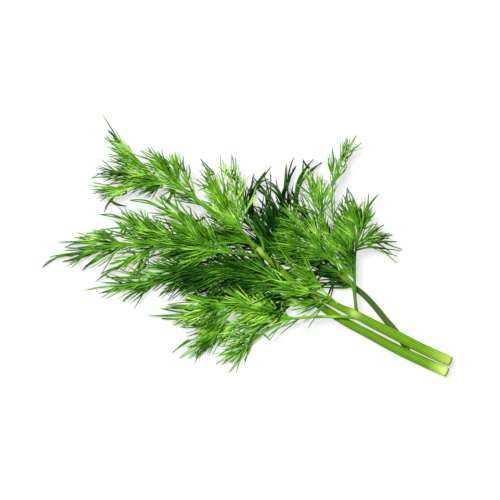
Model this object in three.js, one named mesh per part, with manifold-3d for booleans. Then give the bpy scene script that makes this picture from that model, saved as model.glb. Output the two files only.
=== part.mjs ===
// A small bunch of cut dill: three green stems that lie side by side, and their feathery leaves.
// Millimetres, +Z up. The bunch lies on a table at z = 0. Its cut ends point to +X and -Y, and its
// leaves spread to -X. The origin is on the table, under the middle of the whole bunch.
import * as THREE from "three";
import { mergeVertices } from "three/addons/utils/BufferGeometryUtils.js";
import Module from "manifold-3d";

const wasm = await Module();
wasm.setup();

// Driving dimensions, in millimetres and degrees.
const STEM_SIDES = 12;
const STEM_STEP = 10;
const RIB_SIDES = 3;
const RIB_STEP = 8;
const RIB_RADIUS = 0.65;
const RIB_TIP_RADIUS = 0.48;
const NEEDLE_SIDES = 3;
const NEEDLE_RADIUS = 0.36;
const NEEDLE_FOOT_SHARE = 0.6;
const NEEDLE_LENGTH = 8;
const NEEDLE_STEP = 2.6;
const NEEDLE_ROOT = 2.4;
const NEEDLE_SPREAD = 27;
const NEEDLE_ROLL = 50;
const NEEDLE_TIP_SHORTENING = 0.5;
const NEEDLE_LENGTH_SPREAD = 0.2;
const SIDE_RIB_BARE = 0.08;
const TAPER = 1.5;
const FIRST_SEED = 1000;
const SEED_STEP = 77;
const CLEARANCE = 0.35;
const FLOOR_REACH = 400;

// The middle of the whole bunch, in the frame of the points below. It becomes the origin.
const MIDDLE = new THREE.Vector3(-1.3, 0.27, 0);

// Colours of a fresh bunch, from the sunlit top leaves to the shaded ones below.
const STEM_GREEN = 0x74a81c;
const DARK_STEM_GREEN = 0x4a6c1e;
const BRIGHT_LEAF_GREEN = 0x6cab1f;
const LEAF_GREEN = 0x4a8c1a;
const DARK_LEAF_GREEN = 0x2b5216;

// Each stem is a list of points [x, y, z, radius] from its cut end to its tip.
const STEMS = {
  stem_upper: {
    colour: STEM_GREEN,
    points: [
      [81.5, -46.3, 4.0, 2.15], [70, -41, 4.8, 2.1], [60, -35.7, 5.6, 2.0], [50, -30.6, 6.2, 1.85],
      [43.5, -27, 6.6, 1.75], [38, -24.8, 6.9, 1.35], [30, -20.8, 7.4, 1.35], [20, -15.5, 8.2, 1.45],
      [12, -8, 8.9, 1.3], [5.5, -2.3, 9.4, 1.25], [0.5, 2.5, 9.8, 1.0],
    ],
  },
  stem_lower: {
    colour: STEM_GREEN,
    points: [
      [80.5, -51, 1.85, 2.05], [70, -46.3, 1.9, 2.0], [60, -41.2, 2.05, 1.9], [50, -35.7, 2.3, 1.75],
      [40, -30.3, 2.6, 1.65], [30, -24.5, 3.0, 1.5], [22, -19.5, 3.4, 1.3],
    ],
  },
  stem_side: {
    colour: DARK_STEM_GREEN,
    points: [
      [63.5, -38.8, 1.6, 1.45], [61.5, -34.5, 1.6, 1.45], [57, -30, 1.8, 1.4], [53, -24.5, 2.1, 1.35],
      [49, -20, 2.4, 1.3], [43, -16, 3.0, 1.2], [40, -13.5, 3.2, 1.0], [37, -11.5, 3.4, 0.9],
    ],
  },
};

// Each leaf is a main rib and its side ribs, as points [x, y, z] from the root to the tip. bare is the
// share of the main rib that is a stalk with no needles, and length scales the leaf's needles.
const LEAVES = {
  leaf_top_left: {
    colour: LEAF_GREEN, stalk: 1.0, bare: 0.3, length: 0.9,
    main: [
      [1, 2, 9.5], [-7, 8.3, 10.3], [-14.5, 14, 11], [-22, 20, 10.6], [-28.5, 24.5, 10], [-35, 25, 9],
      [-43, 24, 7.5], [-51, 21, 5.5], [-56, 16.5, 2.5], [-57.5, 13, 0.15],
    ],
    sides: [
      [[-33, 25, 9.3], [-41, 31, 9], [-46, 36.5, 7.5], [-50, 41, 6], [-58, 53, 3]],
      [[-35, 25, 9], [-44, 30.5, 8], [-50, 32.5, 6.5], [-55.5, 35, 5]],
      [[-37, 24.8, 8.6], [-40, 26, 8.5], [-48, 28, 6], [-56, 29.5, 3.5], [-63, 27, 0.15]],
      [[-46, 22.9, 6.9], [-53, 22.5, 5], [-61, 21.5, 3]],
      [[-28.5, 24.5, 10], [-32, 30, 10.5], [-36, 34.5, 9.5], [-42, 38, 8]],
      [[-26, 22.8, 10.2], [-28, 30, 9], [-32, 36, 7]],
      [[-19, 17.6, 10.8], [-22.5, 24, 9.5], [-25, 33, 7]],
      [[-27, 23.5, 10], [-30.5, 19.5, 8]],
      [[-33, 24.8, 9.3], [-39, 21.3, 6.5]],
      [[-54.5, 18.2, 4], [-52, 16.8, 3.4], [-47.5, 15.6, 3]],
    ],
  },
  leaf_top_plume: {
    colour: BRIGHT_LEAF_GREEN, stalk: 0.7, bare: 0.16, length: 1,
    main: [
      [4, -1, 11], [0.5, 3.2, 12.1], [-5, 10, 13], [-8, 15, 13.5], [-11, 21, 13.5], [-14.5, 28, 12.5],
      [-18, 34.5, 10.5],
    ],
    sides: [
      [[-2, 6.5, 12.4], [-6, 12.5, 14], [-12, 18.5, 14], [-19.5, 24, 11.5]],
      [[-1, 5.2, 12.4], [-7, 9.5, 14], [-12.5, 13.5, 14.4], [-17.7, 18, 13.4]],
      [[-6, 11.8, 13], [-9.5, 17.5, 14.5], [-14, 23.5, 14], [-18.5, 30, 11.5]],
      [[-4, 8.8, 12.7], [-6, 15, 14.5], [-8, 22, 15], [-9.5, 29, 14], [-10, 36.5, 11]],
      [[-2.5, 7, 12.5], [-3, 13, 14], [-4, 20, 14.5], [-5.5, 27, 13.5], [-5.5, 36, 10.5]],
      [[-2, 6.4, 12.4], [-0.5, 13, 13.4], [-2, 24, 12.8], [-3, 33, 10]],
    ],
  },
  leaf_top_slim: {
    colour: LEAF_GREEN, stalk: 0.55, bare: 0.3, length: 0.8,
    main: [
      [7.4, -3.2, 9.9], [6.6, 1.5, 10], [4.5, 4.5, 9.8], [1, 10, 9.6], [-1.5, 16, 9.3], [-3.5, 23, 8.8],
      [-4, 32, 7],
    ],
    sides: [
      [[0.4, 11.4, 9.5], [1, 16, 9.2], [0.5, 21, 8.2]],
      [[-1, 14.8, 9.3], [0, 19, 9], [-0.6, 24, 7.8]],
    ],
  },
  leaf_left: {
    colour: LEAF_GREEN, stalk: 0.75, bare: 0.2, length: 1,
    main: [
      [8, -4.8, 8.9], [4, -4.2, 8.4], [-5, -3.2, 8.4], [-18, -2, 8.6], [-34, 0, 8.2], [-40, 0.5, 7.4],
      [-47, 0, 6.2], [-53, -1, 5], [-60, -2, 4], [-66, -3.5, 3], [-74, -4.5, 2], [-79, -6, 1.2],
      [-82.8, -9, 0.15],
    ],
    sides: [
      [[-46, 0.1, 6.4], [-53, 1, 5.6], [-60, 1.6, 4.6], [-68, 1.4, 3.2], [-76, 1.2, 1.6]],
      [[-31, -0.4, 8.3], [-39, 4, 8.3], [-44, 7.5, 7], [-49, 10.3, 5.6], [-59.5, 12.5, 3]],
      [[-28, -0.8, 8.4], [-34, 3, 9], [-38.5, 6, 8.6], [-43, 9, 7.6], [-50, 13.2, 5.5]],
      [[-24, -1.3, 8.5], [-30, 3, 9.4], [-35, 6.5, 9.2], [-39.5, 10, 8.2], [-46.7, 14.3, 6]],
      [[-40, 0.5, 7.4], [-48, 4, 6.5], [-57, 6.5, 4]],
      [[-49, -0.3, 5.8], [-56, 3, 5], [-64.5, 5, 3]],
      [[-62, 1.6, 4.2], [-69.3, 3.2, 2.4]],
      [[-58, -1.7, 4.3], [-66, -1.4, 3.2], [-73, -1, 1.8]],
      [[-63, -2.7, 3.5], [-69, -5.2, 2.2], [-74.5, -6.7, 1]],
      [[-49, -0.3, 5.8], [-55, -3.2, 4.4], [-59, -5, 3.6], [-66.5, -10.5, 1]],
      [[-33, -0.2, 8.2], [-38, -2, 7.6], [-45, -5, 6.2], [-52, -9, 4.6], [-61, -15, 2.6]],
      [[-37, 0.2, 7.8], [-41, -5, 6.4], [-44, -9.5, 5.4], [-47, -14.5, 4.6]],
      [[-11, -2.6, 8.4], [-17, 2.5, 10], [-23, 6.5, 11], [-30, 9.5, 10.5], [-37.5, 11.5, 9]],
      [[-14, -2.4, 8.5], [-20, 1.5, 10.5], [-27, 4, 11], [-34, 5, 10.4]],
      [[-8, -2.9, 8.4], [-14, 3.4, 9.8], [-19, 8.6, 10.2], [-24, 13.5, 9], [-28.8, 21, 6.8]],
      [[-17, 7, 10], [-25, 11, 9.4], [-32, 14.3, 8.4], [-38, 16.5, 7.2], [-46.8, 18, 5.4]],
      [[-21, 9.6, 9.8], [-27, 13.5, 8.8], [-34.5, 19.5, 6.6]],
    ],
  },
  leaf_low_left: {
    colour: DARK_LEAF_GREEN, stalk: 0.9, bare: 0.2, length: 1,
    main: [
      [23.5, -20.4, 3.4], [16, -16, 3.6], [10, -13, 3.8], [0, -10.5, 4.2], [-15, -11, 4.4], [-25, -12, 4],
      [-35, -14, 3.2], [-44, -17, 2], [-50, -18.2, 1.2], [-59, -19.5, 0.15],
    ],
    sides: [
      [[-30, -13, 3.6], [-40, -13, 3], [-48, -13, 2.2], [-57, -13, 1]],
      [[-38, -15, 2.8], [-50, -16.2, 2.2], [-58, -17, 1.4], [-65, -18.2, 0.6]],
      [[-36, -14.4, 3], [-46, -20, 1.5], [-50, -23.3, 0.7]],
      [[-20, -11.5, 4.2], [-30, -10.5, 4.4], [-36, -9.6, 3.8], [-42.5, -9.5, 3]],
      [[-12, -10.9, 4.4], [-22, -8.3, 5.4], [-30, -6.8, 5], [-37, -5.5, 4]],
      [[-20, -11.5, 4.2], [-27, -14, 3], [-32, -17.5, 1.8], [-35, -20.5, 0.8]],
      [[-5, -10.5, 4.3], [-15, -13.5, 3.4], [-20, -15.5, 2.4], [-26.5, -20, 0.9]],
      [[16, -16, 3.6], [12, -19.5, 3.4], [2, -21, 3], [-8, -21.5, 2.4], [-25, -20.5, 0.6]],
      [[-8, -21.5, 2.4], [-16, -23, 1.6], [-24.5, -22.5, 0.7]],
    ],
  },
  leaf_bottom: {
    colour: BRIGHT_LEAF_GREEN, stalk: 0.6, bare: 0.27, length: 1,
    main: [
      [46, -29.6, 6.3], [41, -28.9, 6.2], [33, -28.8, 5.8], [25, -29, 5.6], [17.5, -29.5, 5.6],
      [10, -27, 6.5], [3, -25, 7.2], [-5, -23.7, 7.2], [-12, -24.5, 6.6], [-18, -26.5, 5.6],
      [-25, -28.5, 4.2], [-40, -28.6, 1.2],
    ],
    sides: [
      [[-9, -24.2, 7], [-16, -23, 6.4], [-24, -23, 5], [-32, -24, 3]],
      [[-14, -25.2, 6.4], [-25, -25.6, 4.6], [-34.8, -25.7, 2.2]],
      [[-8, -24, 7], [-14, -27, 5.8], [-22, -30, 4], [-29.5, -32.5, 1.8]],
      [[-2, -24, 7.2], [-8, -27.5, 6], [-16, -30.5, 4.6], [-26.5, -33.4, 2]],
      [[5, -25.5, 7], [-3, -21.6, 7.6], [-11, -20.8, 6.6]],
      [[17.5, -29.5, 5.6], [10, -30.4, 4.8], [-5, -32, 3.8], [-12, -34, 3.2], [-22, -38.4, 2],
        [-30, -43.5, 0.5]],
      [[-7, -32.5, 3.7], [-15, -33.3, 3], [-24.5, -35.7, 1.6]],
      [[-8, -32.8, 3.6], [-15, -38, 2.4], [-21, -42.5, 1.4], [-27, -46, 0.6]],
      [[-4, -32, 3.8], [-10, -36.5, 2.8], [-15, -41.5, 1.6], [-20.3, -46, 0.7]],
      [[3, -31, 4.3], [-4, -35, 3.4], [-11, -38.5, 2.2], [-16, -42, 1.2]],
      [[17.5, -29.5, 5.6], [10, -33.8, 4], [4, -37.4, 2.4], [2, -41, 1.4], [0, -46.5, 0.15]],
      [[6, -36, 3], [0, -37.2, 2.6], [-9, -38.6, 1.4]],
      [[3.4, -38, 2.2], [-2, -41.5, 1.5], [-7, -44.5, 0.9], [-12.2, -48.5, 0.15]],
      [[2.6, -39.6, 1.8], [-2, -44, 1], [-6, -48, 0.5]],
      [[7, -35.6, 3.1], [9.7, -38.2, 2.2]],
      [[17.5, -29.5, 5.6], [15.5, -26, 5.2], [14.7, -22.5, 4.8]],
    ],
  },
  leaf_right: {
    colour: LEAF_GREEN, stalk: 0.7, bare: 0.62, length: 0.75,
    main: [
      [47.4, -27.8, 7.1], [45, -24.5, 7.2], [44, -20, 7.6], [43.8, -12, 8.2], [44, -5, 8.8], [44.5, 2, 9.2],
      [45, 8, 9.4], [44, 12, 9], [42.5, 16, 8.2], [40.8, 23.5, 6],
    ],
    sides: [
      [[44.5, 1.5, 9.2], [46.5, 6, 9.4], [48, 13, 8], [50.5, 17.5, 6.6], [54, 21, 5]],
      [[44.4, 0.5, 9.1], [49, 3.7, 8.6], [52, 6, 7.6], [56, 8.5, 6]],
      [[44.3, -0.7, 9], [50, 2.4, 7.6], [54.5, 4.4, 6], [59.5, 4.2, 4.4]],
      [[44.3, -1, 9], [49, 0.4, 7.6], [54, 1, 5.6], [61.5, 1.3, 3]],
      [[44.2, -2, 9], [49, -1, 7], [56, -1.5, 4.2], [63.5, -2.3, 0.15]],
      [[45, 7, 9.4], [42, 12, 9.8], [38, 17, 9]],
      [[45.6, 4.4, 9.3], [46.5, 9, 8.2], [46, 16, 6.4]],
    ],
  },
  leaf_top_right: {
    colour: LEAF_GREEN, stalk: 0.55, bare: 0.45, length: 0.75,
    main: [
      [45.6, -26.4, 5.9], [43.4, -22, 5.5], [42, -16.5, 5.4], [40, -12, 5.8], [38, -6, 6.8], [37, 0, 7.8],
      [36.4, 6, 8.8], [35.5, 9, 9.2], [34.5, 14, 9.4], [34.5, 20, 9.2], [35, 24.5, 8.8], [34.6, 31, 8],
      [34.8, 40, 6],
    ],
    sides: [
      [[35, 24.2, 8.8], [37, 29, 8.6], [38.2, 34, 8], [39.5, 38, 7], [41, 43.4, 5.4]],
      [[38, 33, 8.1], [41, 37.5, 6.6], [44.8, 44.3, 4.6]],
      [[35.6, 25.5, 8.8], [39, 29.4, 8], [40.2, 33.5, 7]],
      [[35, 28, 8.4], [33.4, 31.5, 7.6], [33, 35.5, 6.6]],
      [[38, -6, 6.8], [36, -0.5, 7.6], [34, 3.5, 8.6], [31, 8.5, 9.6], [29, 16, 9.8], [26.5, 25, 8.6],
        [25.3, 32, 7]],
      [[28.7, 17, 9.8], [28.6, 23, 9], [28.5, 29.4, 7.6]],
      [[29.3, 14.5, 9.9], [30.6, 20, 9.2], [32, 26.4, 7.6]],
      [[30, 11.5, 9.8], [31.4, 16.5, 9.6], [32.8, 22, 8.4]],
      [[28.6, 17.5, 9.7], [26, 21, 9.4], [23.4, 26, 8]],
      [[30.2, 11, 9.8], [26, 14.5, 10.2], [20, 19, 8.8]],
    ],
  },
  leaf_dark_top: {
    colour: DARK_LEAF_GREEN, stalk: 0.7, bare: 0.1, length: 1,
    main: [
      [39, -12.8, 3.2], [31, -9.5, 3], [25, -7, 2.8], [18, -4.5, 2.8], [12, -3, 2.8], [8, 4, 2.8],
      [4, 12, 2.8], [2, 18, 2.6], [4, 24, 1.6], [8.3, 30.4, 0.15],
    ],
    sides: [
      [[18, -4.5, 2.8], [16, 0, 3.2], [14, 6, 3.6], [11, 15, 3.8], [5, 25, 2.8], [2.6, 28, 2]],
      [[22, -5.9, 2.8], [18, 2, 3.4], [16, 12, 4], [15.5, 20, 3.6], [17, 26, 2], [20.5, 32.5, 0.15]],
      [[31, -9.5, 3], [30, -3, 3.4], [28, 4, 4], [24, 11, 4.2], [17.5, 21, 3.2]],
      [[18, 2.5, 3.4], [19.5, 12, 4.6], [20, 20, 4.4], [24, 30, 2.4], [27.5, 35, 1]],
      [[19.5, 13, 4.6], [22, 24, 4.6], [26, 30, 3.2], [31.5, 33.7, 0.8]],
      [[15.6, 19, 3.7], [16, 27, 2.6], [16.5, 33, 1.2]],
      [[20.4, 21.5, 4.2], [22.8, 28, 3.2], [23.4, 35, 1.4]],
      [[6, 8, 2.8], [9, 16, 2.2], [11, 27, 1]],
      [[37, -11.9, 3.2], [34, -15, 2.6], [28, -15.6, 2.2]],
      [[33, -10.3, 3.1], [28, -12.3, 2.6], [21, -11, 2.2]],
    ],
  },
  leaf_centre_right: {
    colour: LEAF_GREEN, stalk: 0.6, bare: 0.12, length: 1.1,
    main: [
      [43, -15.3, 3.9], [38.5, -10.3, 4.3], [36, -7, 4.8], [32, -3.5, 6.2], [28, -0.4, 7.8], [22, 4, 9.2],
      [14, 9.5, 9.4],
    ],
    sides: [
      [[34, -5.3, 5.5], [28, -6, 7.4], [22, -5, 8.2], [15.5, -1.5, 8]],
      [[31.5, -3, 6.4], [26, -2, 8.4], [20, 0.5, 9], [13, 3.4, 8.6]],
      [[29, -1.2, 7.4], [25, 4, 9.2], [20, 9, 9.6], [14.5, 14, 8.6]],
      [[30, -2, 7], [29, 4, 8.2], [26, 9.5, 8.8], [21.5, 15, 8]],
      [[35, -6.2, 5.1], [34, -0.5, 5.6], [31.5, 5, 6.6], [28, 10, 7]],
    ],
  },
  leaf_inner: {
    colour: LEAF_GREEN, stalk: 0.45, bare: 0.35, length: 1,
    main: [
      [37, -23.9, 8], [34.4, -21.5, 8.9], [32.4, -19.6, 9.1], [30.6, -17.4, 9], [28, -14, 9], [22, -9.4, 9.6],
    ],
    sides: [
      [[30, -16.6, 9], [25.5, -14, 10], [20.5, -11, 10]],
      [[28.4, -14.5, 9], [26.5, -10.5, 10], [23, -7, 10]],
    ],
  },
  leaf_inner_low: {
    colour: DARK_LEAF_GREEN, stalk: 0.5, bare: 0.12, length: 0.9,
    main: [
      [21.5, -17.4, 7.7], [17, -16, 6.9], [12, -13.8, 6.4], [7, -12.6, 6.2], [1, -11.8, 6], [-6, -12.5, 6],
    ],
    sides: [
      [[15, -15.2, 6.7], [11, -11.5, 6.6], [6, -9, 6.6], [0, -6.8, 6.4]],
      [[14, -14.8, 6.6], [8, -15.6, 6.2], [1, -15.8, 5.4]],
    ],
  },
};

// A steady draw of numbers from 0 to 1, so that the bunch grows the same way each time.
function seededDraw(seed) {
  let state = seed;
  return () => {
    state = (state * 48271) % 2147483647;
    return state / 2147483647;
  };
}

// The two directions across a line of growth, so that a section can stand square to it.
function across(direction) {
  const level = new THREE.Vector3(0, 0, 1).cross(direction);
  if (level.length() < 0.01) {
    level.set(1, 0, 0);
  }
  level.normalize();
  return [level, level.clone().cross(direction)];
}

// Rings along a smooth curve through the points: each has a centre, a direction and a radius.
function ringsAlong(points, step, radiusAt) {
  const curve = new THREE.CatmullRomCurve3(points, false, "centripetal");
  const count = Math.max(2, Math.round(curve.getLength() / step) + 1);
  const rings = [];
  for (let i = 0; i < count; i += 1) {
    const share = i / (count - 1);
    rings.push({
      centre: curve.getPointAt(share).sub(MIDDLE),
      direction: curve.getTangentAt(share),
      radius: radiusAt(share),
    });
  }
  return rings;
}

// Lays an upright cylinder or cone along the rings, from its foot to its top.
function layAlong(upright, rings) {
  upright.deleteAttribute("normal");
  upright.deleteAttribute("uv");
  const shape = mergeVertices(upright);
  const position = shape.attributes.position;
  const corner = new THREE.Vector3();
  for (let i = 0; i < position.count; i += 1) {
    const ring = rings[Math.round((position.getY(i) + 0.5) * (rings.length - 1))];
    const [level, other] = across(ring.direction);
    const reach = Math.hypot(position.getX(i), position.getZ(i));
    const radius = reach > 0.001 ? ring.radius / reach : 0;
    corner.copy(ring.centre);
    corner.addScaledVector(level, position.getX(i) * radius);
    corner.addScaledVector(other, position.getZ(i) * radius);
    position.setXYZ(i, corner.x, corner.y, corner.z);
  }
  return shape;
}

function solidOf(geometry) {
  return new wasm.Manifold(new wasm.Mesh({
    numProp: 3,
    vertProperties: new Float32Array(geometry.attributes.position.array),
    triVerts: new Uint32Array(geometry.index.array),
  }));
}

function geometryOf(solid) {
  const mesh = solid.getMesh();
  const geometry = new THREE.BufferGeometry();
  geometry.setAttribute("position", new THREE.BufferAttribute(mesh.vertProperties, 3));
  geometry.setIndex(new THREE.BufferAttribute(mesh.triVerts, 1));
  return geometry;
}

function tube(rings, sides) {
  return solidOf(layAlong(new THREE.CylinderGeometry(1, 1, 1, sides, rings.length - 1), rings));
}

// A needle is a thin three-sided cone whose foot is sunk in its rib.
function needle(foot, tip, radius) {
  const direction = tip.clone().sub(foot).normalize();
  const rings = [{ centre: foot, direction, radius }, { centre: tip, direction, radius }];
  return solidOf(layAlong(new THREE.ConeGeometry(1, 1, NEEDLE_SIDES, 1), rings));
}

// All that has been placed so far, as thin straight capsules, to keep the pieces clear of each other.
const capsules = [];

function addCapsule(owner, from, to, radius) {
  const line = new THREE.Line3(from.clone(), to.clone());
  const middle = line.getCenter(new THREE.Vector3());
  capsules.push({ owner, line, radius, middle, half: line.distance() / 2 });
}

function addCapsulesAlong(owner, rings) {
  for (let i = 1; i < rings.length; i += 1) {
    const radius = Math.max(rings[i - 1].radius, rings[i].radius);
    addCapsule(owner, rings[i - 1].centre, rings[i].centre, radius);
  }
}

// A needle is clear where no other piece touches it, and nothing of its own leaf beyond its root.
function isClear(owner, from, to, radius) {
  const line = new THREE.Line3(from, to);
  const beyondRoot = new THREE.Line3(line.at(NEEDLE_ROOT / line.distance(), new THREE.Vector3()), to);
  const middle = line.getCenter(new THREE.Vector3());
  const half = line.distance() / 2;
  for (const other of capsules) {
    const own = other.owner === owner;
    const room = radius + other.radius + (own ? 0 : CLEARANCE);
    const far = middle.distanceTo(other.middle) > half + other.half + room;
    if (!far && (own ? beyondRoot : line).distanceSqToLine3(other.line) < room * room) {
      return false;
    }
  }
  return true;
}

const vectors = (points) => points.map(([x, y, z]) => new THREE.Vector3(x, y, z));

// A stem's rings, with its radius eased from point to point and grown by what a gap needs.
function stemRings(stem, extra) {
  const radii = new THREE.SplineCurve(stem.points.map((point) => new THREE.Vector2(point[3] + extra, 0)));
  return ringsAlong(vectors(stem.points), STEM_STEP, (share) => radii.getPoint(share).x);
}

// Cuts away what lies below the table, which leaves small flat feet where a piece rests.
function restOnTable(solid) {
  const below = new THREE.BoxGeometry(FLOOR_REACH, FLOOR_REACH, FLOOR_REACH);
  below.translate(0, 0, -FLOOR_REACH / 2);
  below.deleteAttribute("normal");
  below.deleteAttribute("uv");
  return solid.subtract(solidOf(mergeVertices(below)));
}

// The rings of each rib of a leaf: the stalk and main rib first, then the side ribs.
function ribRings(leaf) {
  const taper = (root) => (share) => root + (RIB_TIP_RADIUS - root) * share ** TAPER;
  const main = ringsAlong(vectors(leaf.main), RIB_STEP, taper(leaf.stalk));
  const sides = leaf.sides.map((side) => ringsAlong(vectors(side), RIB_STEP, taper(RIB_RADIUS)));
  return [main, ...sides];
}

// Where a needle's tip lies: spread from the rib to one side, rolled round it, and shorter near the end.
function needleTip(foot, direction, side, roll, length) {
  const [level, other] = across(direction);
  const spread = THREE.MathUtils.degToRad(NEEDLE_SPREAD);
  const turn = THREE.MathUtils.degToRad(roll);
  const tip = foot.clone();
  tip.addScaledVector(direction, Math.cos(spread) * length);
  tip.addScaledVector(level, Math.sin(spread) * Math.cos(turn) * side * length);
  tip.addScaledVector(other, Math.sin(spread) * Math.sin(turn) * length);
  return tip;
}

// Turns tried, in order, when a needle would touch another piece or the table.
const BENDS = [0, 30, -30, 60, -60, 90, -90, 130, -130, 180];

// The place on a rib's axis at a share of its length, with its direction and radius there.
function spotOn(rings, share) {
  const place = share * (rings.length - 1);
  const before = rings[Math.min(Math.floor(place), rings.length - 2)];
  const after = rings[Math.min(Math.floor(place), rings.length - 2) + 1];
  const part = place - Math.min(Math.floor(place), rings.length - 2);
  return {
    centre: before.centre.clone().lerp(after.centre, part),
    direction: after.centre.clone().sub(before.centre).normalize(),
    radius: THREE.MathUtils.lerp(before.radius, after.radius, part),
  };
}

// Needles stand to either side of a rib in turn. One that finds no clear place is left out.
function growNeedles(name, leaf, rings, draw, bare) {
  const span = rings[0].centre.distanceTo(rings[1].centre) * (rings.length - 1);
  const count = Math.floor((span * (1 - bare)) / NEEDLE_STEP);
  const needles = [];
  for (let i = 0; i < count; i += 1) {
    const share = bare + ((1 - bare) * (i + 1)) / (count + 1);
    const spot = spotOn(rings, share);
    const foot = spot.centre;
    const direction = spot.direction;
    const radius = Math.min(NEEDLE_RADIUS, spot.radius * NEEDLE_FOOT_SHARE);
    const side = i % 2 === 0 ? 1 : -1;
    const roll = (draw() * 2 - 1) * NEEDLE_ROLL;
    const uneven = 1 + (draw() * 2 - 1) * NEEDLE_LENGTH_SPREAD;
    const length = leaf.length * NEEDLE_LENGTH * (1 - NEEDLE_TIP_SHORTENING * share) * uneven;
    for (const bend of BENDS) {
      const tip = needleTip(foot, direction, side, roll + bend, length);
      if (tip.z > NEEDLE_RADIUS && isClear(name, foot, tip, radius)) {
        addCapsule(name, foot, tip, radius);
        needles.push(needle(foot, tip, radius));
        break;
      }
    }
  }
  return needles;
}

// The largest body of a solid: a scrap that a cut leaves loose is dropped.
function largestBody(solid) {
  const bodies = solid.decompose();
  bodies.sort((one, two) => two.volume() - one.volume());
  return bodies[0];
}

const bunch = new THREE.Group();

function addPiece(name, solid, colour) {
  const material = new THREE.MeshStandardMaterial({ color: colour, roughness: 0.6, metalness: 0 });
  const mesh = new THREE.Mesh(geometryOf(solid), material);
  mesh.name = name;
  bunch.add(mesh);
}

// The room that each stem takes, with the gap that a leaf's base keeps to it.
const stemRooms = Object.values(STEMS).map((stem) => tube(stemRings(stem, CLEARANCE), STEM_SIDES));

for (const [name, stem] of Object.entries(STEMS)) {
  const rings = stemRings(stem, 0);
  addCapsulesAlong(name, rings);
  addPiece(name, restOnTable(tube(rings, STEM_SIDES)), stem.colour);
}

const ribsOf = {};
for (const [name, leaf] of Object.entries(LEAVES)) {
  ribsOf[name] = ribRings(leaf);
  ribsOf[name].forEach((rings) => addCapsulesAlong(name, rings));
}

Object.entries(LEAVES).forEach(([name, leaf], index) => {
  const draw = seededDraw(FIRST_SEED + index * SEED_STEP);
  const ribs = ribsOf[name];
  const solids = ribs.map((rings) => tube(rings, RIB_SIDES));
  ribs.forEach((rings, rib) => {
    solids.push(...growNeedles(name, leaf, rings, draw, rib === 0 ? leaf.bare : SIDE_RIB_BARE));
  });
  let whole = wasm.Manifold.union(solids);
  stemRooms.forEach((room) => {
    whole = whole.subtract(room);
  });
  addPiece(name, largestBody(restOnTable(whole)), leaf.colour);
});

export default bunch;
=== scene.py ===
# %% [markdown]
# # A small bunch of cut dill
#
# Three green stems lie side by side on a white table, and feathery leaves fan out from them. The
# solids of the frame already hold each stem and each leaf at its real place, with few and angular
# needles. This script dresses them: every stem becomes a ribbed, waxy stalk with a wet cut end, and
# every leaf becomes the fine, forked thread work that makes dill look like dill.

# %% Load the frame
import math
import random

import bpy
import numpy as np
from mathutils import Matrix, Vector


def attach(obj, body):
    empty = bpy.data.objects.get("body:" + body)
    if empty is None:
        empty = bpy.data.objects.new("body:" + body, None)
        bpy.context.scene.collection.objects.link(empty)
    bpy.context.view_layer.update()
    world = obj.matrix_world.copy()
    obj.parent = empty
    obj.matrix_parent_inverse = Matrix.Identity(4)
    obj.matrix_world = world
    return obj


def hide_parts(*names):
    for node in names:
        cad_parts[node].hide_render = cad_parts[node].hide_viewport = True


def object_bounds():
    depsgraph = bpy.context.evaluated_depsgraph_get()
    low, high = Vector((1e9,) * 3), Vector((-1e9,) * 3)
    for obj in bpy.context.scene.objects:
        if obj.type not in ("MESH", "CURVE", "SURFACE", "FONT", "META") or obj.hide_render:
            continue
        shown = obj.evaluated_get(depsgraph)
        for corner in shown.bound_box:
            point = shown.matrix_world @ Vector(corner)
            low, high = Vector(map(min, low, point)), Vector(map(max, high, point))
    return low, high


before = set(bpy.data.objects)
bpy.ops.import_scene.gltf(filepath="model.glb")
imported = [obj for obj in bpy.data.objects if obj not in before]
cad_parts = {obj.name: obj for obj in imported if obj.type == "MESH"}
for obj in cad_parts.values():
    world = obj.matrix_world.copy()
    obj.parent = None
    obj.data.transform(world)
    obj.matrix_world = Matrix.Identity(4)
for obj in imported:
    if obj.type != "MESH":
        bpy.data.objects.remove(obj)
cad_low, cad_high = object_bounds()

print("nodes in the frame:", len(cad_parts))

# %% [markdown]
# ## Units and the middle of the bunch
#
# Blender works in metres, but a herb is easier to think about in millimetres, so every size of the
# bunch is in millimetres and is scaled once, when a mesh is made. The points of the stems and leaves
# are measured in the same way as in the solid model, and MIDDLE is taken off them so that the origin
# lies under the middle of the bunch. Ribs and threads that come near the table stay a little above it.

# %% Sizes in millimetres
MM = 0.001
MIDDLE = np.array([-1.3, 0.27, 0.0])
FLOOR_GAP = 0.3
THREAD_FLOOR_GAP = 0.28
STRAND_FLOOR_GAP = 0.4

# %% [markdown]
# ## Camera, table and light
#
# The bunch is seen from straight above. A long lens keeps the view nearly free of perspective, and
# the picture is 200 mm wide at the middle height of the leaves. The table is a plain pale sheet. A broad
# lamp high above gives the soft light of a window or a photographer's tent, and a bright, even world
# fills the shadows, so that the table stays almost white and only a faint shadow shows.

# %% Camera straight above
VIEW_WIDTH = 200.0
VIEW_HEIGHT = 8.0
LENS = 100.0
SENSOR = 36.0
VIEW_CENTRE = (3.1, -2.27)
NEAREST_VIEW = 10.0


def add_camera():
    distance = VIEW_WIDTH * LENS / SENSOR
    place = (VIEW_CENTRE[0] * MM, VIEW_CENTRE[1] * MM, (VIEW_HEIGHT + distance) * MM)
    bpy.ops.object.camera_add(location=place)
    camera = bpy.context.object
    camera.name = "view_from_above"
    camera.data.lens = LENS
    camera.data.sensor_width = SENSOR
    camera.data.clip_start = NEAREST_VIEW * MM
    bpy.context.scene.camera = camera
    return camera


camera = add_camera()
print("camera height, mm:", round(camera.location.z / MM))

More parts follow.
